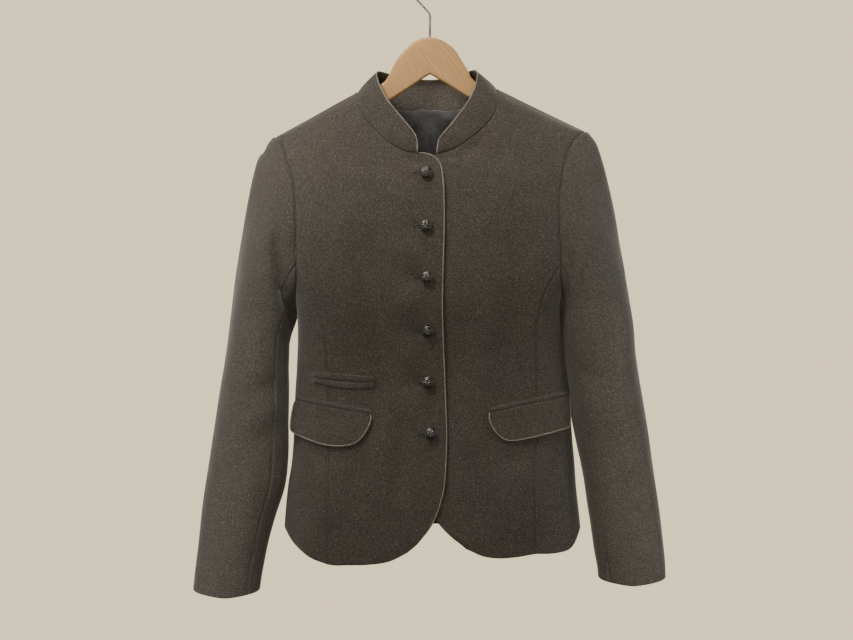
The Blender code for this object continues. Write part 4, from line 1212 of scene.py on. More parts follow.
@dataclass
class ClothPiece:
    """A fine grid of cloth, made into a wall with finished edges.

    The edges are those of the first row, the last row, the first column and the last column.
    """

    name: str
    grid: np.ndarray
    toward: tuple[float, float, float]
    edges: tuple[Edge, Edge, Edge, Edge]
    thickness: float = 2.0
    groove_depth: float = 1.55
    groove_width: float = 1.4
    allowance_rise: float = 0.3
    allowance_at: float = 4.5
    least_wall: float = 0.4
    rim_push: float = 0.4
    stitch_in: float = 0.0
    stitch_depth: float = 0.35
    stitch_edges: tuple[int, ...] = ()

    def normals(self) -> np.ndarray:
        """Unit normals of the grid, turned to face the way given at its middle."""
        made = unit(np.cross(np.gradient(self.grid, axis=0), np.gradient(self.grid, axis=1)))
        middle = made[made.shape[0] // 2, made.shape[1] // 2]
        return made if np.dot(middle, self.toward) > 0 else -made

    def distances(self) -> list[np.ndarray]:
        """Distance of every point from each of the four edges, along the cloth."""
        down = np.linalg.norm(np.diff(self.grid, axis=0), axis=2)
        across = np.linalg.norm(np.diff(self.grid, axis=1), axis=2)
        from_low = np.vstack([np.zeros(down.shape[1]), np.cumsum(down, axis=0)])
        from_first = np.hstack([np.zeros((across.shape[0], 1)), np.cumsum(across, axis=1)])
        return [from_low, from_low[-1] - from_low, from_first,
                from_first[:, -1:] - from_first]

    def sinks(self) -> tuple[np.ndarray, np.ndarray]:
        """How far the outer and the inner surface are drawn in by the edges' finish."""
        outer = np.zeros(self.grid.shape[:2])
        inner = np.zeros(self.grid.shape[:2])
        half = self.thickness / 2
        for number, (edge, away) in enumerate(zip(self.edges, self.distances())):
            if edge is Edge.SEAM:
                outer += self.groove_depth * np.exp(-(away / self.groove_width) ** 2)
                swell = (away - self.allowance_at) / self.allowance_at * 1.4
                outer -= self.allowance_rise * np.exp(-swell ** 2)
            elif edge is Edge.FOLD:
                short = np.clip(half - away, 0.0, half)
                rounded = (half - np.sqrt(half ** 2 - short ** 2)) * 0.8
                outer = np.maximum(outer, rounded)
                inner = np.maximum(inner, rounded)
            if number in self.stitch_edges:
                outer += self.stitch_depth * np.exp(-((away - self.stitch_in) / 0.6) ** 2)
        return np.minimum(outer, self.thickness - self.least_wall - inner), inner

    def flat_cut(self) -> tuple[float, float, float]:
        """Width, length and area of the piece laid flat, in metres."""
        down = np.linalg.norm(np.diff(self.grid, axis=0), axis=2)
        across = np.linalg.norm(np.diff(self.grid, axis=1), axis=2)
        width, length = across.sum(axis=1).max() * MM, down.sum(axis=0).max() * MM
        sides = np.cross(np.diff(self.grid, axis=0)[:, :-1], np.diff(self.grid, axis=1)[:-1])
        area = float(np.linalg.norm(sides, axis=2).sum()) * MM * MM
        return float(width), float(length), min(area, float(width * length))

    def build(self, finish: bpy.types.Material) -> bpy.types.Object:
        """Wall of cloth with its edges finished.

        Args:
            finish: Its material.

        Returns:
            The object.
        """
        normals = self.normals()
        sink_outer, sink_inner = self.sinks()
        outer = self.grid - normals * sink_outer[..., None]
        inner = self.grid - normals * (self.thickness - sink_inner)[..., None]
        rows, columns = self.grid.shape[:2]
        count = rows * columns
        edge = ([(0, j, 0) for j in range(columns)]
                + [(i, columns - 1, 3) for i in range(1, rows)]
                + [(rows - 1, j, 1) for j in range(columns - 2, -1, -1)]
                + [(i, 0, 2) for i in range(rows - 2, 0, -1)])
        step_in = {0: (1, 0), 1: (-1, 0), 2: (0, 1), 3: (0, -1)}
        middles = []
        for i, j, number in edge:
            di, dj = step_in[number]
            middle = (outer[i, j] + inner[i, j]) / 2
            if self.edges[number] is Edge.FOLD:
                out = unit(self.grid[i, j] - self.grid[i + di, j + dj])
                middle = middle + out * self.rim_push
            middles.append(middle)
        points = np.concatenate([outer.reshape(-1, 3), inner.reshape(-1, 3), np.array(middles)])
        faces = []
        for i in range(rows - 1):
            for j in range(columns - 1):
                a = i * columns + j
                b, c, d = a + 1, a + 1 + columns, a + columns
                faces.append((a, b, c, d))
                faces.append((d + count, c + count, b + count, a + count))
        around = [i * columns + j for i, j, _ in edge]
        for k, a in enumerate(around):
            after = (k + 1) % len(around)
            b = around[after]
            m, n = 2 * count + k, 2 * count + after
            faces.append((b, a, m, n))
            faces.append((n, m, a + count, b + count))
        faces_out = np.dot(np.cross(self.grid[0, 1] - self.grid[0, 0],
                                    self.grid[1, 0] - self.grid[0, 0]), normals[0, 0]) > 0
        if not faces_out:
            faces = [tuple(reversed(face)) for face in faces]
        return add_mesh(self.name, points, faces, finish)


def cord_tube(name: str, path: np.ndarray, radius: float | np.ndarray, sides: int,
              finish: bpy.types.Material, guide: np.ndarray | None = None) -> bpy.types.Object:
    """Round cord along a path, with closed ends.

    Args:
        name: Name of the object.
        path: Its middle line.
        radius: Its radius, or one for each point.
        sides: Points round it.
        finish: Its material.
        guide: Ways that its first side faces, or None for one carried along.

    Returns:
        The object.
    """
    tangents = unit(np.gradient(path, axis=0))
    radii = np.broadcast_to(np.asarray(radius, float), (len(path),))
    angles = 2 * math.pi * (np.arange(sides) + 0.5) / sides
    carried = np.array([0.0, 1.0, 0.0])
    points = []
    for i, tangent in enumerate(tangents):
        way = carried if guide is None else guide[i]
        across = unit(way - tangent * np.dot(way, tangent))
        carried = across
        other = np.cross(tangent, across)
        ring = np.cos(angles)[:, None] * across + np.sin(angles)[:, None] * other
        points += list(path[i] + radii[i] * ring)
    faces = []
    for i in range(len(path) - 1):
        for k in range(sides):
            a, b = i * sides + k, i * sides + (k + 1) % sides
            faces.append((a, b, b + sides, a + sides))
    last = (len(path) - 1) * sides
    points += [path[0], path[-1]]
    for k in range(sides):
        after = (k + 1) % sides
        faces.append((after, k, last + sides))
        faces.append((last + k, last + after, last + sides + 1))
    points = np.array(points)
    return add_mesh(name, points, turned_out(points, faces), finish)


def places(first: float, last: float, steps: int, span: float, starts: bool,
           ends: bool) -> np.ndarray:
    """Where a fine grid has its lines, counted in spans of the coarse one.

    Args:
        first: Place of the first line.
        last: Place of the last line.
        steps: Steps in each span.
        span: Length of a span.
        starts: Whether extra lines follow the first one closely.
        ends: Whether extra lines precede the last one closely.

    Returns:
        The places, rising.
    """
    close = np.array([0.5, 1.1, 2.0, 3.2]) / span
    at = list(np.linspace(first, last, round((last - first) * steps) + 1))
    if starts:
        at += list(first + close)
    if ends:
        at += list(last - close)
    return np.unique(np.round(at, 5))


def fine_grid(coarse: np.ndarray, rows: np.ndarray, columns: np.ndarray,
              closed: bool = False) -> np.ndarray:
    """Smooth fine grid through a coarse one.

    Args:
        coarse: The coarse grid.
        rows: Rows to read, counted in spans.
        columns: Columns to read.
        closed: Whether the columns run round a tube.

    Returns:
        The fine grid.
    """
    by_row = along(coarse, rows)
    return along(by_row.swapaxes(0, 1), columns, closed).swapaxes(0, 1)


def pin(grid: np.ndarray, reach: np.ndarray, curve: np.ndarray, edge: int) -> None:
    """Draw one edge of a grid onto a curve that it shares with a neighbour.

    Args:
        grid: The grid, changed in place.
        reach: How far each row or column follows, from 1 on the edge to 0.
        curve: The shared curve.
        edge: 0 first row, 1 last row, 2 first column, 3 last column.
    """
    now = {0: grid[0], 1: grid[-1], 2: grid[:, 0], 3: grid[:, -1]}[edge]
    shift = curve - now
    if edge < 2:
        grid += reach[:, None, None] * shift[None, :, :]
    else:
        grid += reach[None, :, None] * shift[:, None, :]


@dataclass
class Jacket:
    """The jacket's panels, sleeves, collar, lining and trim; the pockets are built apart, by
    Pockets.
    """

    loden: bpy.types.Material
    piping: bpy.types.Material
    lining: bpy.types.Material
    thread: bpy.types.Material
    form: JacketForm = field(default_factory=JacketForm)
    row_steps: int = 7
    column_steps: int = 4
    collar_spans: int = 3
    collar_bow: float = 1.5
    collar_centre: tuple[float, float] = (-3.0, -8.0)
    piping_radius: float = 0.85
    lining_rows: tuple[int, int] = (12, 21)
    lining_columns: int = 5
    lining_thickness: float = 0.8
    lap_x: float = 18.0
    lap_reach: float = 15.0
    lap_sink: float = 1.6
    roll_radius: float = 0.85
    roll_depth: float = 1.3

    def __post_init__(self) -> None:
        """Work out the coarse grids and the curves that neighbours share."""
        f = self.form
        self.sleeve_form = SleeveForm(f)
        self.drape = Drape(f, self.sleeve_form)
        self.fronts = {side: f.panel(side, False) for side in Side}
        self.backs = {side: f.panel(side, True) for side in Side}
        for side in Side:
            self.backs[side][-1] = self.fronts[side][-1]
        self.sides = {side: f.side_panel(side, self.fronts[side], self.backs[side])
                      for side in Side}
        self.sleeves = {side: self.sleeve_form.grid(side) for side in Side}
        self.last = f.lower_spans + f.upper_spans
        self.neck_row = self.last - f.neck_spans
        self.neck = np.concatenate([
            self.fronts[Side.RIGHT][self.neck_row:, 0],
            self.backs[Side.RIGHT][self.neck_row:-1, 0][::-1],
            self.backs[Side.LEFT][self.neck_row + 1:-1, 0],
            self.fronts[Side.LEFT][self.neck_row:, 0][::-1]])
        self.loops = {side: f.armhole_loop(side) for side in Side}
        self.fine: dict[str, np.ndarray] = {}
        self.ways: dict[Side, dict[str, list]] = {
            side: {"at": [], "way": []} for side in Side}

    def declare(self, cloth: ClothPiece, finish: bpy.types.Material, slot: str, held: str,
                rests_on: list[str], *nodes: str) -> bpy.types.Object:
        """Build a piece of cloth, dress it and state the cut that it was made from.

        Args:
            cloth: The piece.
            finish: Its material.
            slot: The record's material slot.
            held: How it hangs; not used.
            rests_on: What it hangs from or lies on; not used.
            *nodes: Solids that it replaces.

        Returns:
            The object.
        """
        made = dress(cloth.build(finish), slot, *nodes)
        width, length, area = cloth.flat_cut()
        width, length = max(width, 0.01), max(length, 0.01)
        LOG.info("  flat %.0f x %.0f mm, %.4f m2", width / MM, length / MM, area)
        return made

    def roll(self, name: str, line: np.ndarray, facing: np.ndarray) -> None:
        """Seam allowance rolled together under a seam, which closes its ditch.

        Args:
            name: Name of the seam.
            line: Points along the seam.
            facing: Unit ways out of the cloth.
        """
        made = cord_tube(name + "_seam", line - facing * self.roll_depth, self.roll_radius, 8,
                         self.loden, facing)
        dress(made, "loden")

    def panel(self, side: Side, back: bool) -> None:
        """One front or back panel.

        Args:
            side: The wearer's side.
            back: Whether it is a back panel.
        """
        f = self.form
        coarse = (self.backs if back else self.fronts)[side]
        rows = places(0, self.last, self.row_steps, 30.0, True, True)
        columns = places(0, f.panel_spans, self.column_steps, 17.0, True, True)
        grid = fine_grid(coarse, rows, columns)
        low, high = rows[rows <= f.lower_spans], rows[rows > f.lower_spans]
        climb = high - f.lower_spans
        loop_at = (2 * (f.turn_spans + f.upper_spans) - f.turn_spans - climb if back
                   else f.turn_spans + climb)
        outer = np.concatenate([along(coarse[:f.lower_spans + 1, -1], low),
                                along(self.loops[side], loop_at, True)])
        pin(grid, np.clip(columns - columns[-1] + 1, 0, 1) ** 2, outer, 3)
        low, high = rows[rows <= self.neck_row], rows[rows > self.neck_row]
        climb = high - self.neck_row
        middle = len(self.neck) - 1 if side is Side.LEFT else 0
        neck_at = abs(middle - climb) if not back else len(self.neck) // 2 + side.value * climb
        inner = np.concatenate([along(coarse[:self.neck_row + 1, 0], low),
                                along(self.neck, neck_at)])
        pin(grid, np.clip(1 - columns, 0, 1) ** 2, inner, 2)
        grid = self.drape.body(grid)
        if side is Side.LEFT and not back:
            near = smooth_step(1 - np.abs(grid[..., 0] - self.lap_x) / self.lap_reach)
            along_edge = np.interp(-grid[..., 2], (265, 300, 680, 712), (0, 1, 1, 0))
            grid[..., 1] += self.lap_sink * near * along_edge
        kind = "back" if back else "front"
        name = side.word + "_" + kind
        self.fine[name] = grid
        self.fine[name + "_rows"] = rows
        edges = (Edge.FOLD, Edge.SEAM, Edge.SEAM if back else Edge.FOLD, Edge.SEAM)
        cloth = ClothPiece(name + "_cloth", grid, (0, 1 if back else -1, 0), edges)
        self.declare(cloth, self.loden, "loden", "hung", ["hanger_wood"], name)
        ways = cloth.normals()
        below = rows <= f.lower_spans
        self.roll(name + "_side", grid[below, -1], ways[below, -1])
        self.ways[side]["at"] += list(loop_at)
        self.ways[side]["way"] += list(ways[~below, -1])
        if back and side is Side.LEFT:
            below = rows <= self.neck_row
            self.roll("centre_back", grid[below, 0], ways[below, 0])
        if not back:
            self.roll(side.word + "_shoulder", grid[-1], unit(ways[-1] + np.array([0, 1.0, 0])))

    def side_panel(self, side: Side) -> None:
        """The panel under the arm.

        Args:
            side: The wearer's side.
        """
        f = self.form
        coarse = self.sides[side]
        rows = places(0, f.lower_spans, self.row_steps, 30.0, True, True)
        columns = places(0, coarse.shape[1] - 1, 4, 14.0, True, True)
        grid = fine_grid(coarse, rows, columns)
        near = np.clip(1 - columns, 0, 1) ** 2
        pin(grid, near, along(self.fronts[side][:f.lower_spans + 1, -1], rows), 2)
        pin(grid, near[::-1], along(self.backs[side][:f.lower_spans + 1, -1], rows), 3)
        top = along(self.loops[side], f.turn_spans - columns, True)
        pin(grid, np.clip(rows - rows[-1] + 1, 0, 1) ** 2, top, 1)
        grid = self.drape.body(grid)
        name = side.word + "_side"
        cloth = ClothPiece(name + "_cloth", grid, (side.value, 0, 0),
                           (Edge.FOLD, Edge.SEAM, Edge.SEAM, Edge.SEAM))
        self.declare(cloth, self.loden, "loden", "hung", [side.word + "_front_cloth"], name)
        self.ways[side]["at"] += list((f.turn_spans - columns) % (len(self.loops[side]) - 1))
        self.ways[side]["way"] += list(cloth.normals()[-1])

    def sleeve(self, side: Side) -> None:
        """Upper and under sleeve.

        Args:
            side: The wearer's side.
        """
        coarse = self.sleeves[side]
        turn, seam = self.form.turn_spans, self.sleeve_form.back_seam
        around, ways = [], []
        rows = places(0, len(coarse) - 1, 7, 30.0, True, True)
        round_it = coarse.shape[1] - 1
        cuts = {"upper": (turn, seam), "under": (seam, round_it + turn)}
        for cut, (first, last) in cuts.items():
            columns = places(first, last, 3, 9.5, True, True)
            grid = self.drape.sleeve(fine_grid(coarse, rows, columns, True), side)
            name = side.word + "_" + cut + "_sleeve"
            middle = grid[len(rows) // 3, len(columns) // 2]
            toward = self.sleeve_form.outward(middle, side)
            edges = (Edge.FOLD, Edge.SEAM, Edge.SEAM, Edge.SEAM)
            cloth = ClothPiece(name + "_cloth", grid, tuple(toward), edges)
            self.declare(cloth, self.loden, "loden", "hung", [side.word + "_front_cloth"], name)
            facing = cloth.normals()
            self.roll(name, grid[:, -1], facing[:, -1])
            around += list(columns % round_it)
            ways += list(facing[-1])
        at = np.linspace(0.0, round_it, 161)
        body = self.spread(self.ways[side]["at"], self.ways[side]["way"], at, round_it)
        arm = self.spread(around, ways, at, round_it)
        self.roll(side.word + "_armhole", along(self.loops[side], at, True), unit(body + arm))

    @staticmethod
    def spread(places: list, vectors: list, at: np.ndarray, period: float) -> np.ndarray:
        """Vectors known at some places round a loop, read at others.

        Args:
            places: Where they are known.
            vectors: The vectors.
            at: Where they are read.
            period: Length of the loop.

        Returns:
            One vector for each place.
        """
        order = np.argsort(places)
        x, v = np.array(places)[order], np.array(vectors)[order]
        return np.stack([np.interp(at, x, v[:, k], period=period) for k in range(3)], axis=1)

    def collar(self) -> None:
        """The stand collar and its piping."""
        f = self.form
        ends = [np.stack([t["edge_x"], t["edge_y"], -t["edge_drop"]], axis=1)
                for t in (f.front_collar[Side.RIGHT], f.back_collar[Side.RIGHT],
                          f.front_collar[Side.LEFT], f.back_collar[Side.LEFT])]
        edge = np.concatenate([ends[0], ends[1], np.concatenate([ends[2], ends[3]])[-2::-1]])
        coarse = []
        for i in range(self.collar_spans + 1):
            t = i / self.collar_spans
            row = self.neck + (edge - self.neck) * t
            away = unit(row[:, :2] - np.array(self.collar_centre))
            row[:, :2] += away * self.collar_bow * math.sin(math.pi * t)
            coarse.append(row)
        rows = places(0, self.collar_spans, 4, 12.0, True, True)
        columns = places(0, len(edge) - 1, 5, 18.0, True, True)
        grid = fine_grid(np.array(coarse), rows, columns)
        pin(grid, np.clip(1 - rows, 0, 1) ** 2, along(self.neck, columns), 0)
        cloth = ClothPiece("collar_cloth", grid, (0, 1, 0),
                           (Edge.SEAM, Edge.FOLD, Edge.FOLD, Edge.FOLD), stitch_in=2.6,
                           stitch_edges=(1, 2, 3))
        self.declare(cloth, self.loden, "loden", "hung", ["right_front_cloth"], "collar")
        ways = cloth.normals()
        self.roll("neck", grid[0], unit(ways[0] + np.array([0, 0, 0.7])))
        line = np.concatenate([grid[1:-1, 0], grid[-1], grid[1:-1, -1][::-1]])
        inward = np.concatenate([grid[1:-1, 2], grid[-3], grid[1:-1, -3][::-1]])
        facing = np.concatenate([ways[1:-1, 0], ways[-1], ways[1:-1, -1][::-1]])
        self.cord("collar_piping", line, inward, facing)

    def cord(self, node: str, line: np.ndarray, inward: np.ndarray, facing: np.ndarray,
             fade: float = 3.0, thickness: float = 2.0, rounding: int = 4) -> None:
        """Piping cord along an edge of cloth.

        Args:
            node: The solid that it replaces.
            line: Points along the edge.
            inward: Points next to them inside the cloth.
            facing: Normals of the cloth.
            fade: Length over which its first end runs out and sinks into the seam.
            thickness: Thickness of the cloth.
            rounding: How many times its corners are smoothed.
        """
        away = unit(np.cross(np.gradient(line, axis=0), facing))
        if np.sum(away * (line - inward)) < 0:
            away = -away
        steps = np.concatenate([[0.0], np.cumsum(np.linalg.norm(np.diff(line, axis=0), axis=1))])
        sunk = self.piping_radius * (1.5 * smooth_step(steps / fade) - 0.75)
        path = line + away * sunk[:, None] - facing * thickness * 0.22
        even = np.linspace(0.0, steps[-1], max(int(steps[-1] / 1.8), 8))
        path = np.stack([np.interp(even, steps, path[:, k]) for k in range(3)], axis=1)
        guide = np.stack([np.interp(even, steps, facing[:, k]) for k in range(3)], axis=1)
        for _ in range(rounding):
            path[1:-1] = (path[:-2] + 2 * path[1:-1] + path[2:]) / 4
        radius = self.piping_radius * (1 + 0.05 * np.sin(even / 3.1) + 0.04 * np.sin(even / 7.7))
        radius *= 0.4 + 0.6 * smooth_step(even / fade)
        radius[-3:] *= (0.95, 0.8, 0.5)
        made = cord_tube(node + "_cord", path, radius, 10, self.piping, guide)
        dress(made, "piping", node)

    def front_piping(self) -> None:
        """Piping along the right front edge, from the neck corner down round the cutaway."""
        grid = self.fine["right_front"]
        rows = self.fine["right_front_rows"]
        cloth = ClothPiece("", grid, (0, -1, 0), (Edge.RAW,) * 4)
        keep = (rows >= 0.35) & (rows <= self.neck_row - 0.1)
        self.cord("front_piping", grid[keep, 0], grid[keep, 3], cloth.normals()[keep, 0], 45.0)

    def back_lining(self, side: Side) -> None:
        """Lining inside one back, as far as the neck opening shows it.

        Args:
            side: The wearer's side.
        """
        low, high = self.lining_rows
        coarse = self.backs[side]
        rows = places(low, high, 7, 20.0, True, True)
        columns = places(0, self.lining_columns, 4, 17.0, True, True)
        grid = fine_grid(coarse, rows, columns)
        grid = self.drape.body(grid)
        bare = ClothPiece("", grid, (0, 1, 0), (Edge.RAW,) * 4)
        x, z = grid[..., 0], grid[..., 2]
        wrinkles = (np.sin(z / 9.0 + x / 31.0) * 0.5 + np.sin(x / 12.0 - z / 37.0) * 0.6
                    + np.sin((x + z) / 6.5) * 0.25)
        grid = grid - bare.normals() * (3.4 - 0.7 * wrinkles)[..., None]
        name = side.word + "_back_lining"
        cloth = ClothPiece(name + "_cloth", grid, (0, 1, 0),
                           (Edge.FOLD, Edge.FOLD, Edge.SEAM, Edge.FOLD),
                           thickness=self.lining_thickness, groove_depth=0.3)
        self.declare(cloth, self.lining, "lining", "hung", [side.word + "_back_cloth"], name)

    def build(self) -> None:
        """All pieces, in the order in which they are sewn."""
        for side in Side:
            self.panel(side, False)
            self.panel(side, True)
            self.side_panel(side)
            self.sleeve(side)
            self.back_lining(side)
        self.collar()
        self.front_piping()


@dataclass
class Pockets:
    """Slanted flaps under their jets, and the ticket pocket's welts and mouth."""

    jacket: Jacket
    flaps: dict[Side, Table] = field(default_factory=lambda: {
        Side.RIGHT: table("x top bottom", [
            (77.5, 589.0, 592.5), (79.5, 588.4, 600), (84, 587.6, 610), (91.6, 586.2, 620.5),
            (100, 584.8, 626.5), (112, 582.6, 629.3), (127, 579.8, 629.5), (143, 576.8, 626.8),
            (157, 574.2, 622), (168, 572.0, 616.5), (175, 570.4, 612)]),
        Side.LEFT: table("x top bottom", [
            (77.8, 586.5, 589.5), (79.5, 586.0, 598), (84, 585.0, 608), (91, 583.4, 616.5),
            (99, 581.6, 621.5), (110, 579.0, 622.6), (124, 575.8, 620.3), (139, 572.4, 617),
            (155, 568.8, 612.5), (168, 565.8, 608.5), (176, 564.0, 606)])})
    lift: float = 0.7
    flare: float = 1.6
    jet_height: float = 6.0
    jet_thickness: float = 1.6
    jet_gap: float = 0.4
    overhang: dict[Side, float] = field(default_factory=lambda: {Side.RIGHT: 6.5,
                                                                 Side.LEFT: 2.5})
    overhang_from: float = 0.72
    thread_radius: float = 0.5
    ticket_x: tuple[float, float] = (73.0, 153.0)
    ticket_drop: tuple[float, float] = (540.0, 533.0)
    welt: float = 6.2
    lens: float = 4.4
    ticket_spans: int = 8

    def patch(self, columns: list[tuple[float, float, float]], side: Side, spans: int,
              lift: float, flare: float, steps: tuple[int, int]) -> np.ndarray:
        """Fine grid that lies on the front.

        Args:
            columns: Distance from the middle and the drops of the two ends of each column.
            side: The wearer's side.
            spans: Spans down each column.
            lift: Height over the form.
            flare: How much further the last row stands off.
            steps: Fine steps in each span, down and across.

        Returns:
            The grid.
        """
        form = self.jacket.form
        coarse = np.zeros((spans + 1, len(columns), 3))
        for j, (x, top, bottom) in enumerate(columns):
            for i in range(spans + 1):
                t = i / spans
                drop = top + (bottom - top) * t
                girth = form.girth_at(side.value * x, drop, side)
                out = form.normal(girth, drop, side) * (lift + flare * t * t)
                coarse[i, j] = form.point(girth, drop, side) + out
        rows = places(0, spans, steps[0], (columns[-1][2] - columns[-1][1]) / spans, True, True)
        across = places(0, len(columns) - 1, steps[1], 8.0, True, True)
        return self.jacket.drape.body(fine_grid(coarse, rows, across))

    def stitch_and_shade_line(self, name: str, line: np.ndarray, inward: np.ndarray,
               facing: np.ndarray, sunk: float) -> None:
        """Near-black thread in the ditch along an edge: part real stitching, part painted shade of
        the ditch.
            line: Points along the edge.
            inward: Points next to them inside the piece.
            facing: Normals of the piece.
            sunk: How deep the thread lies under the piece's surface.
        """
        path = line + unit(line - inward) * self.thread_radius * 0.8 - facing * sunk
        made = cord_tube(name, path, self.thread_radius, 8, self.jacket.thread, facing)
        dress(made, "loden")

    def flap(self, side: Side) -> None:
        """One flap with its piping, and the jet over it.

        Args:
            side: The wearer's side.
        """
        name, cut = side.word + "_flap", self.flaps[side]
        columns = list(zip(cut["x"], cut["top"], cut["bottom"]))
        grid = self.patch(columns, side, 4, self.lift + 2.0, self.flare, (6, 4))
        across = np.linspace(0.0, 1.0, grid.shape[1])[None, :]
        down = np.linspace(0.0, 1.0, grid.shape[0])[:, None]
        loose = smooth_step((across - self.overhang_from) / (1 - self.overhang_from))
        loose = loose * np.sin(math.pi * np.clip(down * 0.72, 0, 1)) * self.overhang[side]
        grid = grid + loose[..., None] * np.array([side.value * 1.0, -0.25, 0.0])
        cloth = ClothPiece(name + "_cloth", grid, (0, -1, 0),
                           (Edge.SEAM, Edge.FOLD, Edge.FOLD, Edge.FOLD),
                           stitch_in=2.4, stitch_edges=(1, 2))
        front = side.word + "_front_cloth"
        self.jacket.declare(cloth, self.jacket.loden, "loden", "hung", [front], name)
        ways = cloth.normals()
        line = np.concatenate([grid[1:-1, 0], grid[-1], grid[1:-1, -1][::-1]])
        inward = np.concatenate([grid[1:-1, 2], grid[-3], grid[1:-1, -3][::-1]])
        facing = np.concatenate([ways[1:-1, 0], ways[-1], ways[1:-1, -1][::-1]])
        self.jacket.cord(name + "_piping", line, inward, facing)
        jet = [(x, top - self.jet_gap - self.jet_height, top - self.jet_gap)
               for x, top, _ in columns]
        grid = self.patch(jet, side, 1, self.lift + self.jet_thickness, 0.0, (6, 4))
        cloth = ClothPiece(name + "_jet_cloth", grid, (0, -1, 0),
                           (Edge.SEAM, Edge.FOLD, Edge.FOLD, Edge.FOLD),
                           thickness=self.jet_thickness)
        self.jacket.declare(cloth, self.jacket.loden, "loden", "folded", [front],
                            name + "_jet")
        ways = cloth.normals()
        # Dark thread lines above the jet and between jet and flap: stitching, and painted shade of
        # the ditches.
        self.stitch_and_shade_line(name + "_jet_sewing", grid[0], grid[2], ways[0], 1.7)
        self.stitch_and_shade_line(name + "_sewing", grid[-1], grid[-3], ways[-1], 0.7)

    def ticket(self) -> None:
        """Two welts of the ticket pocket, and a near-black sheet between them that is painted shade
        for the pocket's mouth.
        """
        upper, lower, mouth = [], [], []
        for i in range(self.ticket_spans + 1):
            t = i / self.ticket_spans
            x = self.ticket_x[0] + (self.ticket_x[1] - self.ticket_x[0]) * t
            top = self.ticket_drop[0] + (self.ticket_drop[1] - self.ticket_drop[0]) * t
            middle = top + self.welt
            gap = self.jet_gap + self.lens * math.sin(math.pi * t)
            upper.append((x, top, middle))
            lower.append((x, middle + gap, middle + gap + self.welt))
            mouth.append((x, middle - 1.0, middle + gap + 1.0))
        edges = (Edge.FOLD,) * 4
        for word, columns in (("upper", upper), ("lower", lower)):
            grid = self.patch(columns, Side.RIGHT, 1, self.lift + self.jet_thickness, 0.0, (6, 5))
            cloth = ClothPiece("ticket_" + word + "_welt_cloth", grid, (0, -1, 0), edges,
                               thickness=self.jet_thickness)
            self.jacket.declare(cloth, self.jacket.loden, "loden", "folded",
                                ["right_front_cloth"], "ticket_" + word + "_welt")
            ways = cloth.normals()
            # Dark thread lines above and below each welt: stitching, and painted shade of the
            # ditches.
            self.stitch_and_shade_line("ticket_" + word + "_sewing_above", grid[0], grid[2], ways[0], 1.7)
            self.stitch_and_shade_line("ticket_" + word + "_sewing_below", grid[-1], grid[-3], ways[-1], 1.7)
        # Near-black sheet in the pocket's mouth, cut from the dark thread finish: painted shade,
        # not a lining bag.
        grid = self.patch(mouth, Side.RIGHT, 1, 0.45, 0.0, (3, 5))
        cloth = ClothPiece("ticket_pocket_painted_shade", grid, (0, -1, 0), (Edge.RAW,) * 4,
                           thickness=0.4)
        self.jacket.declare(cloth, self.jacket.thread, "loden", "hung", ["right_front_cloth"])

    def build(self) -> None:
        """Both flaps and the ticket pocket."""
        for side in Side:
            self.flap(side)
        self.ticket()


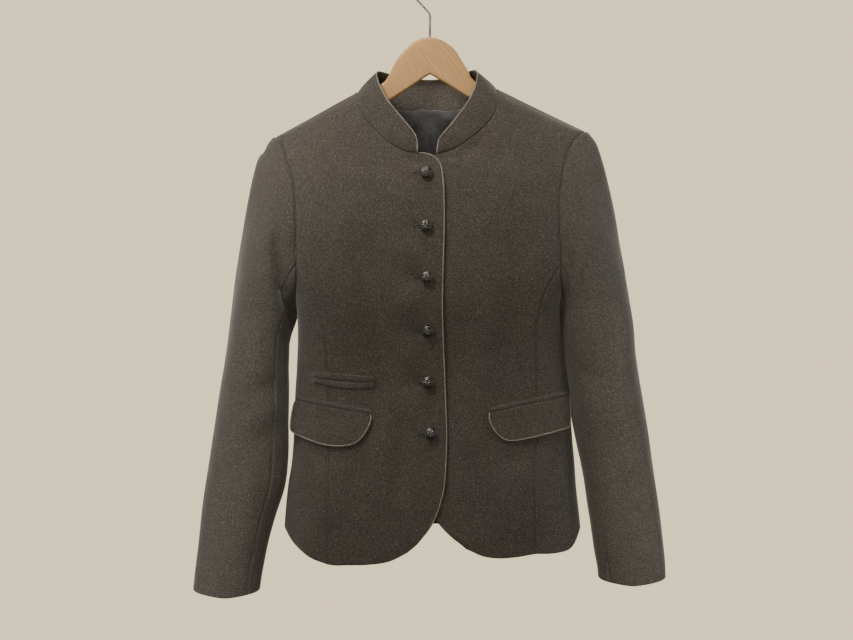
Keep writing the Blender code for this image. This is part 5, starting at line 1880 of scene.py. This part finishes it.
@dataclass
class Buttons:
    """Six domed metal buttons with a rosette, and the worked buttonholes beside them."""

    jacket: Jacket
    metal: bpy.types.Material
    places: Table = field(default_factory=lambda: table("x drop", [
        (-5.3, 270.7), (-5.3, 341), (-4, 408.7), (-2.7, 479), (-2.3, 546.7), (0.8, 614.4)]))
    radius: float = 8.2
    dome_low: float = 3.9
    dome_high: float = 9.0
    petals: int = 8
    beads: int = 22
    rings: int = 26
    around: int = 66
    hole_length: float = 17.0
    hole_height: float = 2.4
    hole_shift: float = 9.5

    def frame_at(self, x: float, drop: float) -> tuple[np.ndarray, np.ndarray, np.ndarray]:
        """Seat on the draped front with the ways out and across.

        Args:
            x: Place from the middle.
            drop: Height of the seat.

        Returns:
            The seat, the way out and the way across.
        """
        form = self.jacket.form
        girth = form.girth_at(x, drop, Side.RIGHT)
        out = form.normal(girth, drop, Side.RIGHT)
        seat = self.jacket.drape.body(form.point(girth, drop, Side.RIGHT)[None, None])[0, 0]
        return seat, out, unit(np.cross(out, np.array([0.0, 0.0, 1.0])))

    def relief(self, share: np.ndarray, angle: np.ndarray) -> np.ndarray:
        """Height of the pressed pattern: a centre boss, petals and a beaded ring.

        Args:
            share: Distance from the button's middle as a share of its radius.
            angle: Angle round it.

        Returns:
            The heights.
        """
        petal = np.cos(angle * self.petals / 2) ** 2
        inside = smooth_step((0.62 - share) / 0.08) * smooth_step((share - 0.16) / 0.06)
        vein = np.exp(-(np.sin(angle * self.petals / 2) / 0.16) ** 2)
        bead = np.maximum(np.cos(angle * self.beads / 2) ** 2 - 0.25, 0.0)
        return (0.62 * petal ** 0.6 * inside - 0.28 * vein * inside
                + 0.5 * smooth_step((0.16 - share) / 0.05)
                + 0.5 * bead * np.exp(-((share - 0.76) / 0.055) ** 2)
                + 0.35 * np.exp(-((share - 0.93) / 0.035) ** 2))

    def button(self, number: int, x: float, drop: float) -> None:
        """One button on its shank.

        Args:
            number: Its number from the top.
            x: Place from the middle.
            drop: Its height.
        """
        seat, out, across = self.frame_at(x, drop)
        up = np.cross(across, out)
        under = [(0.0, 0.2), (2.1, 0.2), (1.9, 2.0), (4.6, 2.5), (7.2, 2.8), (8.0, 3.3)]
        turn = 0.13 * number
        angle = 2 * math.pi * np.arange(self.around) / self.around + turn
        rings = [(np.full(self.around, r), np.full(self.around, h)) for r, h in under]
        for i in range(self.rings):
            share = math.cos(math.pi / 2 * i / self.rings)
            height = self.dome_low + (self.dome_high - self.dome_low) * math.sqrt(
                1 - share ** 2) ** 0.9
            rings.append((np.full(self.around, share * self.radius),
                          height + self.relief(np.full(self.around, share), angle)))
        points = []
        for r, h in rings[1:]:
            points.append(seat + np.outer(h, out) + np.outer(r * np.cos(angle), across)
                          + np.outer(r * np.sin(angle), up))
        points = np.concatenate(points + [np.array([seat + out * 0.2,
                                                    seat + out * (self.dome_high + 0.5)])])
        faces = []
        count = len(rings) - 1
        low, high = count * self.around, count * self.around + 1
        for k in range(self.around):
            after = (k + 1) % self.around
            faces.append((low, k, after))
            for i in range(count - 1):
                a, b = i * self.around + k, i * self.around + after
                faces.append((b, a, a + self.around, b + self.around))
            top = (count - 1) * self.around
            faces.append((top + after, top + k, high))
        made = add_mesh("button_%d_metal" % number, points, turned_out(points, faces), self.metal)
        dress(made, "button", "button_%d" % number)

    def hole(self, number: int, x: float, drop: float) -> None:
        """One worked buttonhole, that runs out from under its button.

        Args:
            number: Its number from the top.
            x: The button's place from the middle.
            drop: The button's height.
        """
        half, tall = self.hole_length / 2, self.hole_height / 2
        turns = np.linspace(0, 2 * math.pi, 61)
        dx = np.sign(np.cos(turns)) * np.abs(np.cos(turns)) ** 0.45 * half
        dz = np.sign(np.sin(turns)) * np.abs(np.sin(turns)) ** 0.8 * tall
        path, guide = [], []
        for a, b in zip(dx, dz):
            seat, out, _ = self.frame_at(x - self.hole_shift + a, drop - b)
            path.append(seat + out * 0.25)
            guide.append(out)
        made = cord_tube("buttonhole_%d" % number, np.array(path),
                         0.62 + 0.12 * np.sin(np.arange(61) * 2.6), 8, self.jacket.thread,
                         np.array(guide))
        dress(made, "loden")

    def build(self) -> None:
        """All buttons and buttonholes."""
        for number, (x, drop) in enumerate(zip(self.places["x"], self.places["drop"]), 1):
            self.button(number, x, drop)
            self.hole(number, x, drop)


@dataclass
class Hanger:
    """Flat wooden hanger with rounded edges, and its wire hook."""

    form: JacketForm
    wood: bpy.types.Material
    wire: bpy.types.Material
    thickness: float = 12.0
    seat: float = 3.9
    tip_drop: float = 6.0
    round_edge: float = 3.6
    wire_radius: float = 1.5
    loop_radius: float = 23.5
    shank_top: float = 60.0
    shank_low: float = 104.0
    outline: Table = field(default_factory=lambda: table("x top bottom", [
        (-196, 0, 241), (-192, 0, 244), (-160, 0, 233), (-120, 0, 213), (-96, 0, 199.5),
        (-76, 155.5, 186.5), (-64, 150, 179), (-57, 143, 174.5), (-52, 133, 171.2),
        (-45, 119.5, 166.7), (-34, 105.8, 159.5), (-18, 92.5, 149), (-9, 89, 142.6),
        (0, 88.0, 137.2), (9, 89, 142.3), (20, 94, 149), (33, 104.2, 157), (43, 119.5, 163.3),
        (50, 131.3, 167.6), (55, 141, 170.8), (61, 147.5, 174.7), (72, 154.6, 181.7),
        (90, 162.4, 193), (120, 0, 208.5), (160, 0, 227), (193, 0, 237.5), (197, 0, 234.5)]))

    def top(self, x: float, stated: float) -> float:
        """Drop of the upper edge: as stated, or just under the cloth's ridge."""
        if stated:
            return stated
        side = Side.RIGHT if x < 0 else Side.LEFT
        slope = self.form.shoulders[side].slope
        return self.form.ridge_drop(x, side) + self.seat * math.hypot(1.0, slope)

    def plate(self) -> None:
        """The wooden plate."""
        x = self.outline["x"]
        tops = np.array([self.top(a, b) for a, b in zip(x, self.outline["top"])])
        at = np.unique(np.concatenate([np.linspace(x[0], x[-1], 180), [0.0],
                                       x[0] + np.array([0.8, 1.8, 3.0]),
                                       x[-1] - np.array([0.8, 1.8, 3.0])]))
        upper = smooth_curve(x, tops, at)
        lower = np.where(at < 0, smooth_curve(x[:14], self.outline["bottom"][:14], at),
                         smooth_curve(x[13:], self.outline["bottom"][13:], at))
        ends = np.minimum(at - x[0], x[-1] - at)
        close = np.sqrt(np.clip(1 - (1 - np.clip(ends / 4.0, 0, 1)) ** 2, 0.02, 1))
        middle = (upper + lower) / 2
        upper = middle + (upper - middle) * (0.45 + 0.55 * close)
        lower = middle + (lower - middle) * (0.45 + 0.55 * close)
        half = self.thickness / 2 * (0.55 + 0.45 * close)
        arc = np.linspace(0.0, math.pi / 2, 6)
        bend = self.round_edge
        points = []
        for a, up, low, thick in zip(at, upper, lower, half):
            round_by = min(bend, (low - up) / 2.2, thick * 0.9)
            across = thick - round_by + round_by * np.sin(arc)
            down = round_by * (1 - np.cos(arc))
            ys = np.concatenate([across, across[::-1], -across, -across[::-1]])
            drops = np.concatenate([up + down, low - down[::-1], low - down, up + down[::-1]])
            points += [(a, y, -drop) for y, drop in zip(ys, drops)]
        points = np.array(points)
        sides = len(ys)
        faces = []
        for i in range(len(at) - 1):
            for k in range(sides):
                a, b = i * sides + k, i * sides + (k + 1) % sides
                faces.append((a, b, b + sides, a + sides))
        faces.append(tuple(range(sides - 1, -1, -1)))
        last = (len(at) - 1) * sides
        faces.append(tuple(range(last, last + sides)))
        made = add_mesh("hanger_wood", points, turned_out(points, faces), self.wood)
        dress(made, "wood", "hanger")

    def hook(self) -> None:
        """The wire hook: shank, bend and open loop with a rounded end."""
        centre = np.array([0.0, 0.0, self.wire_radius - self.loop_radius])
        start, end = math.radians(222), math.radians(-32)
        first = centre + self.loop_radius * np.array([math.cos(start), 0, math.sin(start)])
        bend = np.array([-1.5, 0.0, 5.0 - self.shank_top])
        path = [np.array([0.0, 0.0, -self.shank_low]), np.array([0.0, 0.0, -self.shank_top - 14]),
                np.array([0.0, 0.0, -self.shank_top]), bend, (bend + first) / 2]
        for i in range(23):
            angle = start + (end - start) * i / 22
            path.append(centre + self.loop_radius * np.array([math.cos(angle), 0,
                                                              math.sin(angle)]))
        smooth = along(np.array(path), np.linspace(0, len(path) - 1, 27 * 5 + 1))
        radius = np.full(len(smooth), self.wire_radius)
        radius[-3:] *= (0.93, 0.75, 0.4)
        made = cord_tube("hook_wire", smooth, radius, 14, self.wire)
        dress(made, "wire", "hook")

    def build(self) -> None:
        """Plate and hook."""
        self.plate()
        self.hook()


@dataclass
class Studio:
    """Plain pale room: floor, soft lights and the camera at the photo's angle."""

    floor_drop: float = 1.75
    floor_radius: float = 6.0
    distance: float = 4.5
    centre_x: float = -0.0046
    centre_z: float = -0.4645
    field_width: float = 1.1360
    backdrop: tuple[float, float, float] = (1.32, 1.13, 0.70)
    sky: tuple[float, float, float] = (1.0, 0.92, 0.80)
    sky_strength: float = 0.21

    def floor(self) -> None:
        """Round floor under the hanging jacket."""
        turns = 2 * math.pi * np.arange(96) / 96
        ring = np.stack([np.cos(turns), np.sin(turns), np.zeros(96)], axis=1)
        points = ring * self.floor_radius / MM
        points[:, 2] = -self.floor_drop / MM
        made = add_mesh("floor", points, [tuple(range(96))], PlasterFinish().make())
        made.visible_diffuse = False
        made.visible_glossy = False

    def room(self) -> None:
        """Room colour: one that is seen behind the part and a softer one that lights it."""
        world = bpy.data.worlds.new("room")
        bpy.context.scene.world = world
        world.use_nodes = True
        nodes, links = world.node_tree.nodes, world.node_tree.links
        seen = nodes["Background"]
        seen.inputs["Color"].default_value = (*self.backdrop, 1.0)
        light = nodes.new("ShaderNodeBackground")
        light.inputs["Color"].default_value = (*self.sky, 1.0)
        light.inputs["Strength"].default_value = self.sky_strength
        pick = nodes.new("ShaderNodeMixShader")
        ray = nodes.new("ShaderNodeLightPath")
        links.new(ray.outputs["Is Camera Ray"], pick.inputs["Fac"])
        links.new(light.outputs["Background"], pick.inputs[1])
        links.new(seen.outputs["Background"], pick.inputs[2])
        links.new(pick.outputs["Shader"], nodes["World Output"].inputs["Surface"])

    def light(self, name: str, place: tuple, aim: tuple, size: tuple[float, float],
              power: float, colour: tuple = (1.0, 1.0, 1.0), spread: float = 180.0) -> None:
        """One soft panel of light.

        Args:
            name: Its name.
            place: Where it stands, in metres.
            aim: What it points at.
            size: Its width and height.
            power: Its power in watts.
            colour: Its colour.
            spread: The angle in degrees that it shines over.
        """
        data = bpy.data.lights.new(name, "AREA")
        data.spread = math.radians(spread)
        data.shape = "RECTANGLE"
        data.size, data.size_y = size
        data.energy = power
        data.color = colour
        made = bpy.data.objects.new(name, data)
        made.location = place
        made.rotation_euler = (Vector(aim) - Vector(place)).to_track_quat("-Z", "Y").to_euler()
        made.visible_camera = False
        bpy.context.scene.collection.objects.link(made)

    def camera(self) -> None:
        """Camera straight in front, at the photo's height."""
        data = bpy.data.cameras.new("camera")
        data.sensor_width = 36.0
        data.lens = 36.0 * self.distance / self.field_width
        data.clip_end = 50.0
        made = bpy.data.objects.new("camera", data)
        made.location = (self.centre_x, -self.distance, self.centre_z)
        made.rotation_euler = (math.pi / 2, 0.0, 0.0)
        bpy.context.scene.collection.objects.link(made)
        bpy.context.scene.camera = made

    def build(self) -> None:
        """Floor, room, lamps and camera."""
        self.floor()
        self.room()
        self.light("key", (-0.42, -0.60, 0.36), (0.0, 0.0, -0.35), (0.3, 0.22), 8.4,
                   (1.0, 0.965, 0.90))
        self.light("top", (0.0, -0.25, 0.75), (0.0, 0.0, -0.25), (0.9, 0.25), 1.2,
                   (1.0, 0.98, 0.96), 60.0)
        self.light("neck", (0.0, 0.012, -0.163), (0.0, 0.06, -0.20), (0.1, 0.035), 0.021,
                   (1.0, 0.98, 0.95))
        self.light("front", (0.0, -2.6, -0.8), (0.0, 0.0, -0.55), (0.8, 0.8), 16.0,
                   (1.0, 0.92, 0.79))
        for word, side in (("left", -1.0), ("right", 1.0)):
            self.light("strip_" + word, (side * 0.64, -0.34, -0.4), (side * 0.3, 0.0, -0.48),
                       (0.25, 1.1), 1.7, (0.90, 0.96, 1.0))
            self.light("beam_" + word, (side * 0.7, -0.95, -0.45), (side * 0.29, 0.0, -0.5),
                       (0.12, 1.0), 0.48, (0.95, 0.97, 1.0), 18.0)
        self.light("back", (0.6, 1.8, 0.8), (0.0, 0.0, -0.4), (1.4, 1.2), 42.0,
                   (1.0, 0.98, 0.95))
        self.camera()


def main() -> None:
    """Dress the part and set the room round it."""
    logging.basicConfig(level=logging.INFO, format="%(message)s")
    jacket = Jacket(LodenFinish().make(), PipingFinish().make(), LiningFinish().make(),
                    ThreadFinish().make())
    jacket.build()
    Pockets(jacket).build()
    Buttons(jacket, ButtonFinish().make()).build()
    Hanger(jacket.form, BeechFinish().make(), SteelFinish().make()).build()
    Studio().build()


if __name__ == "__main__":
    main()
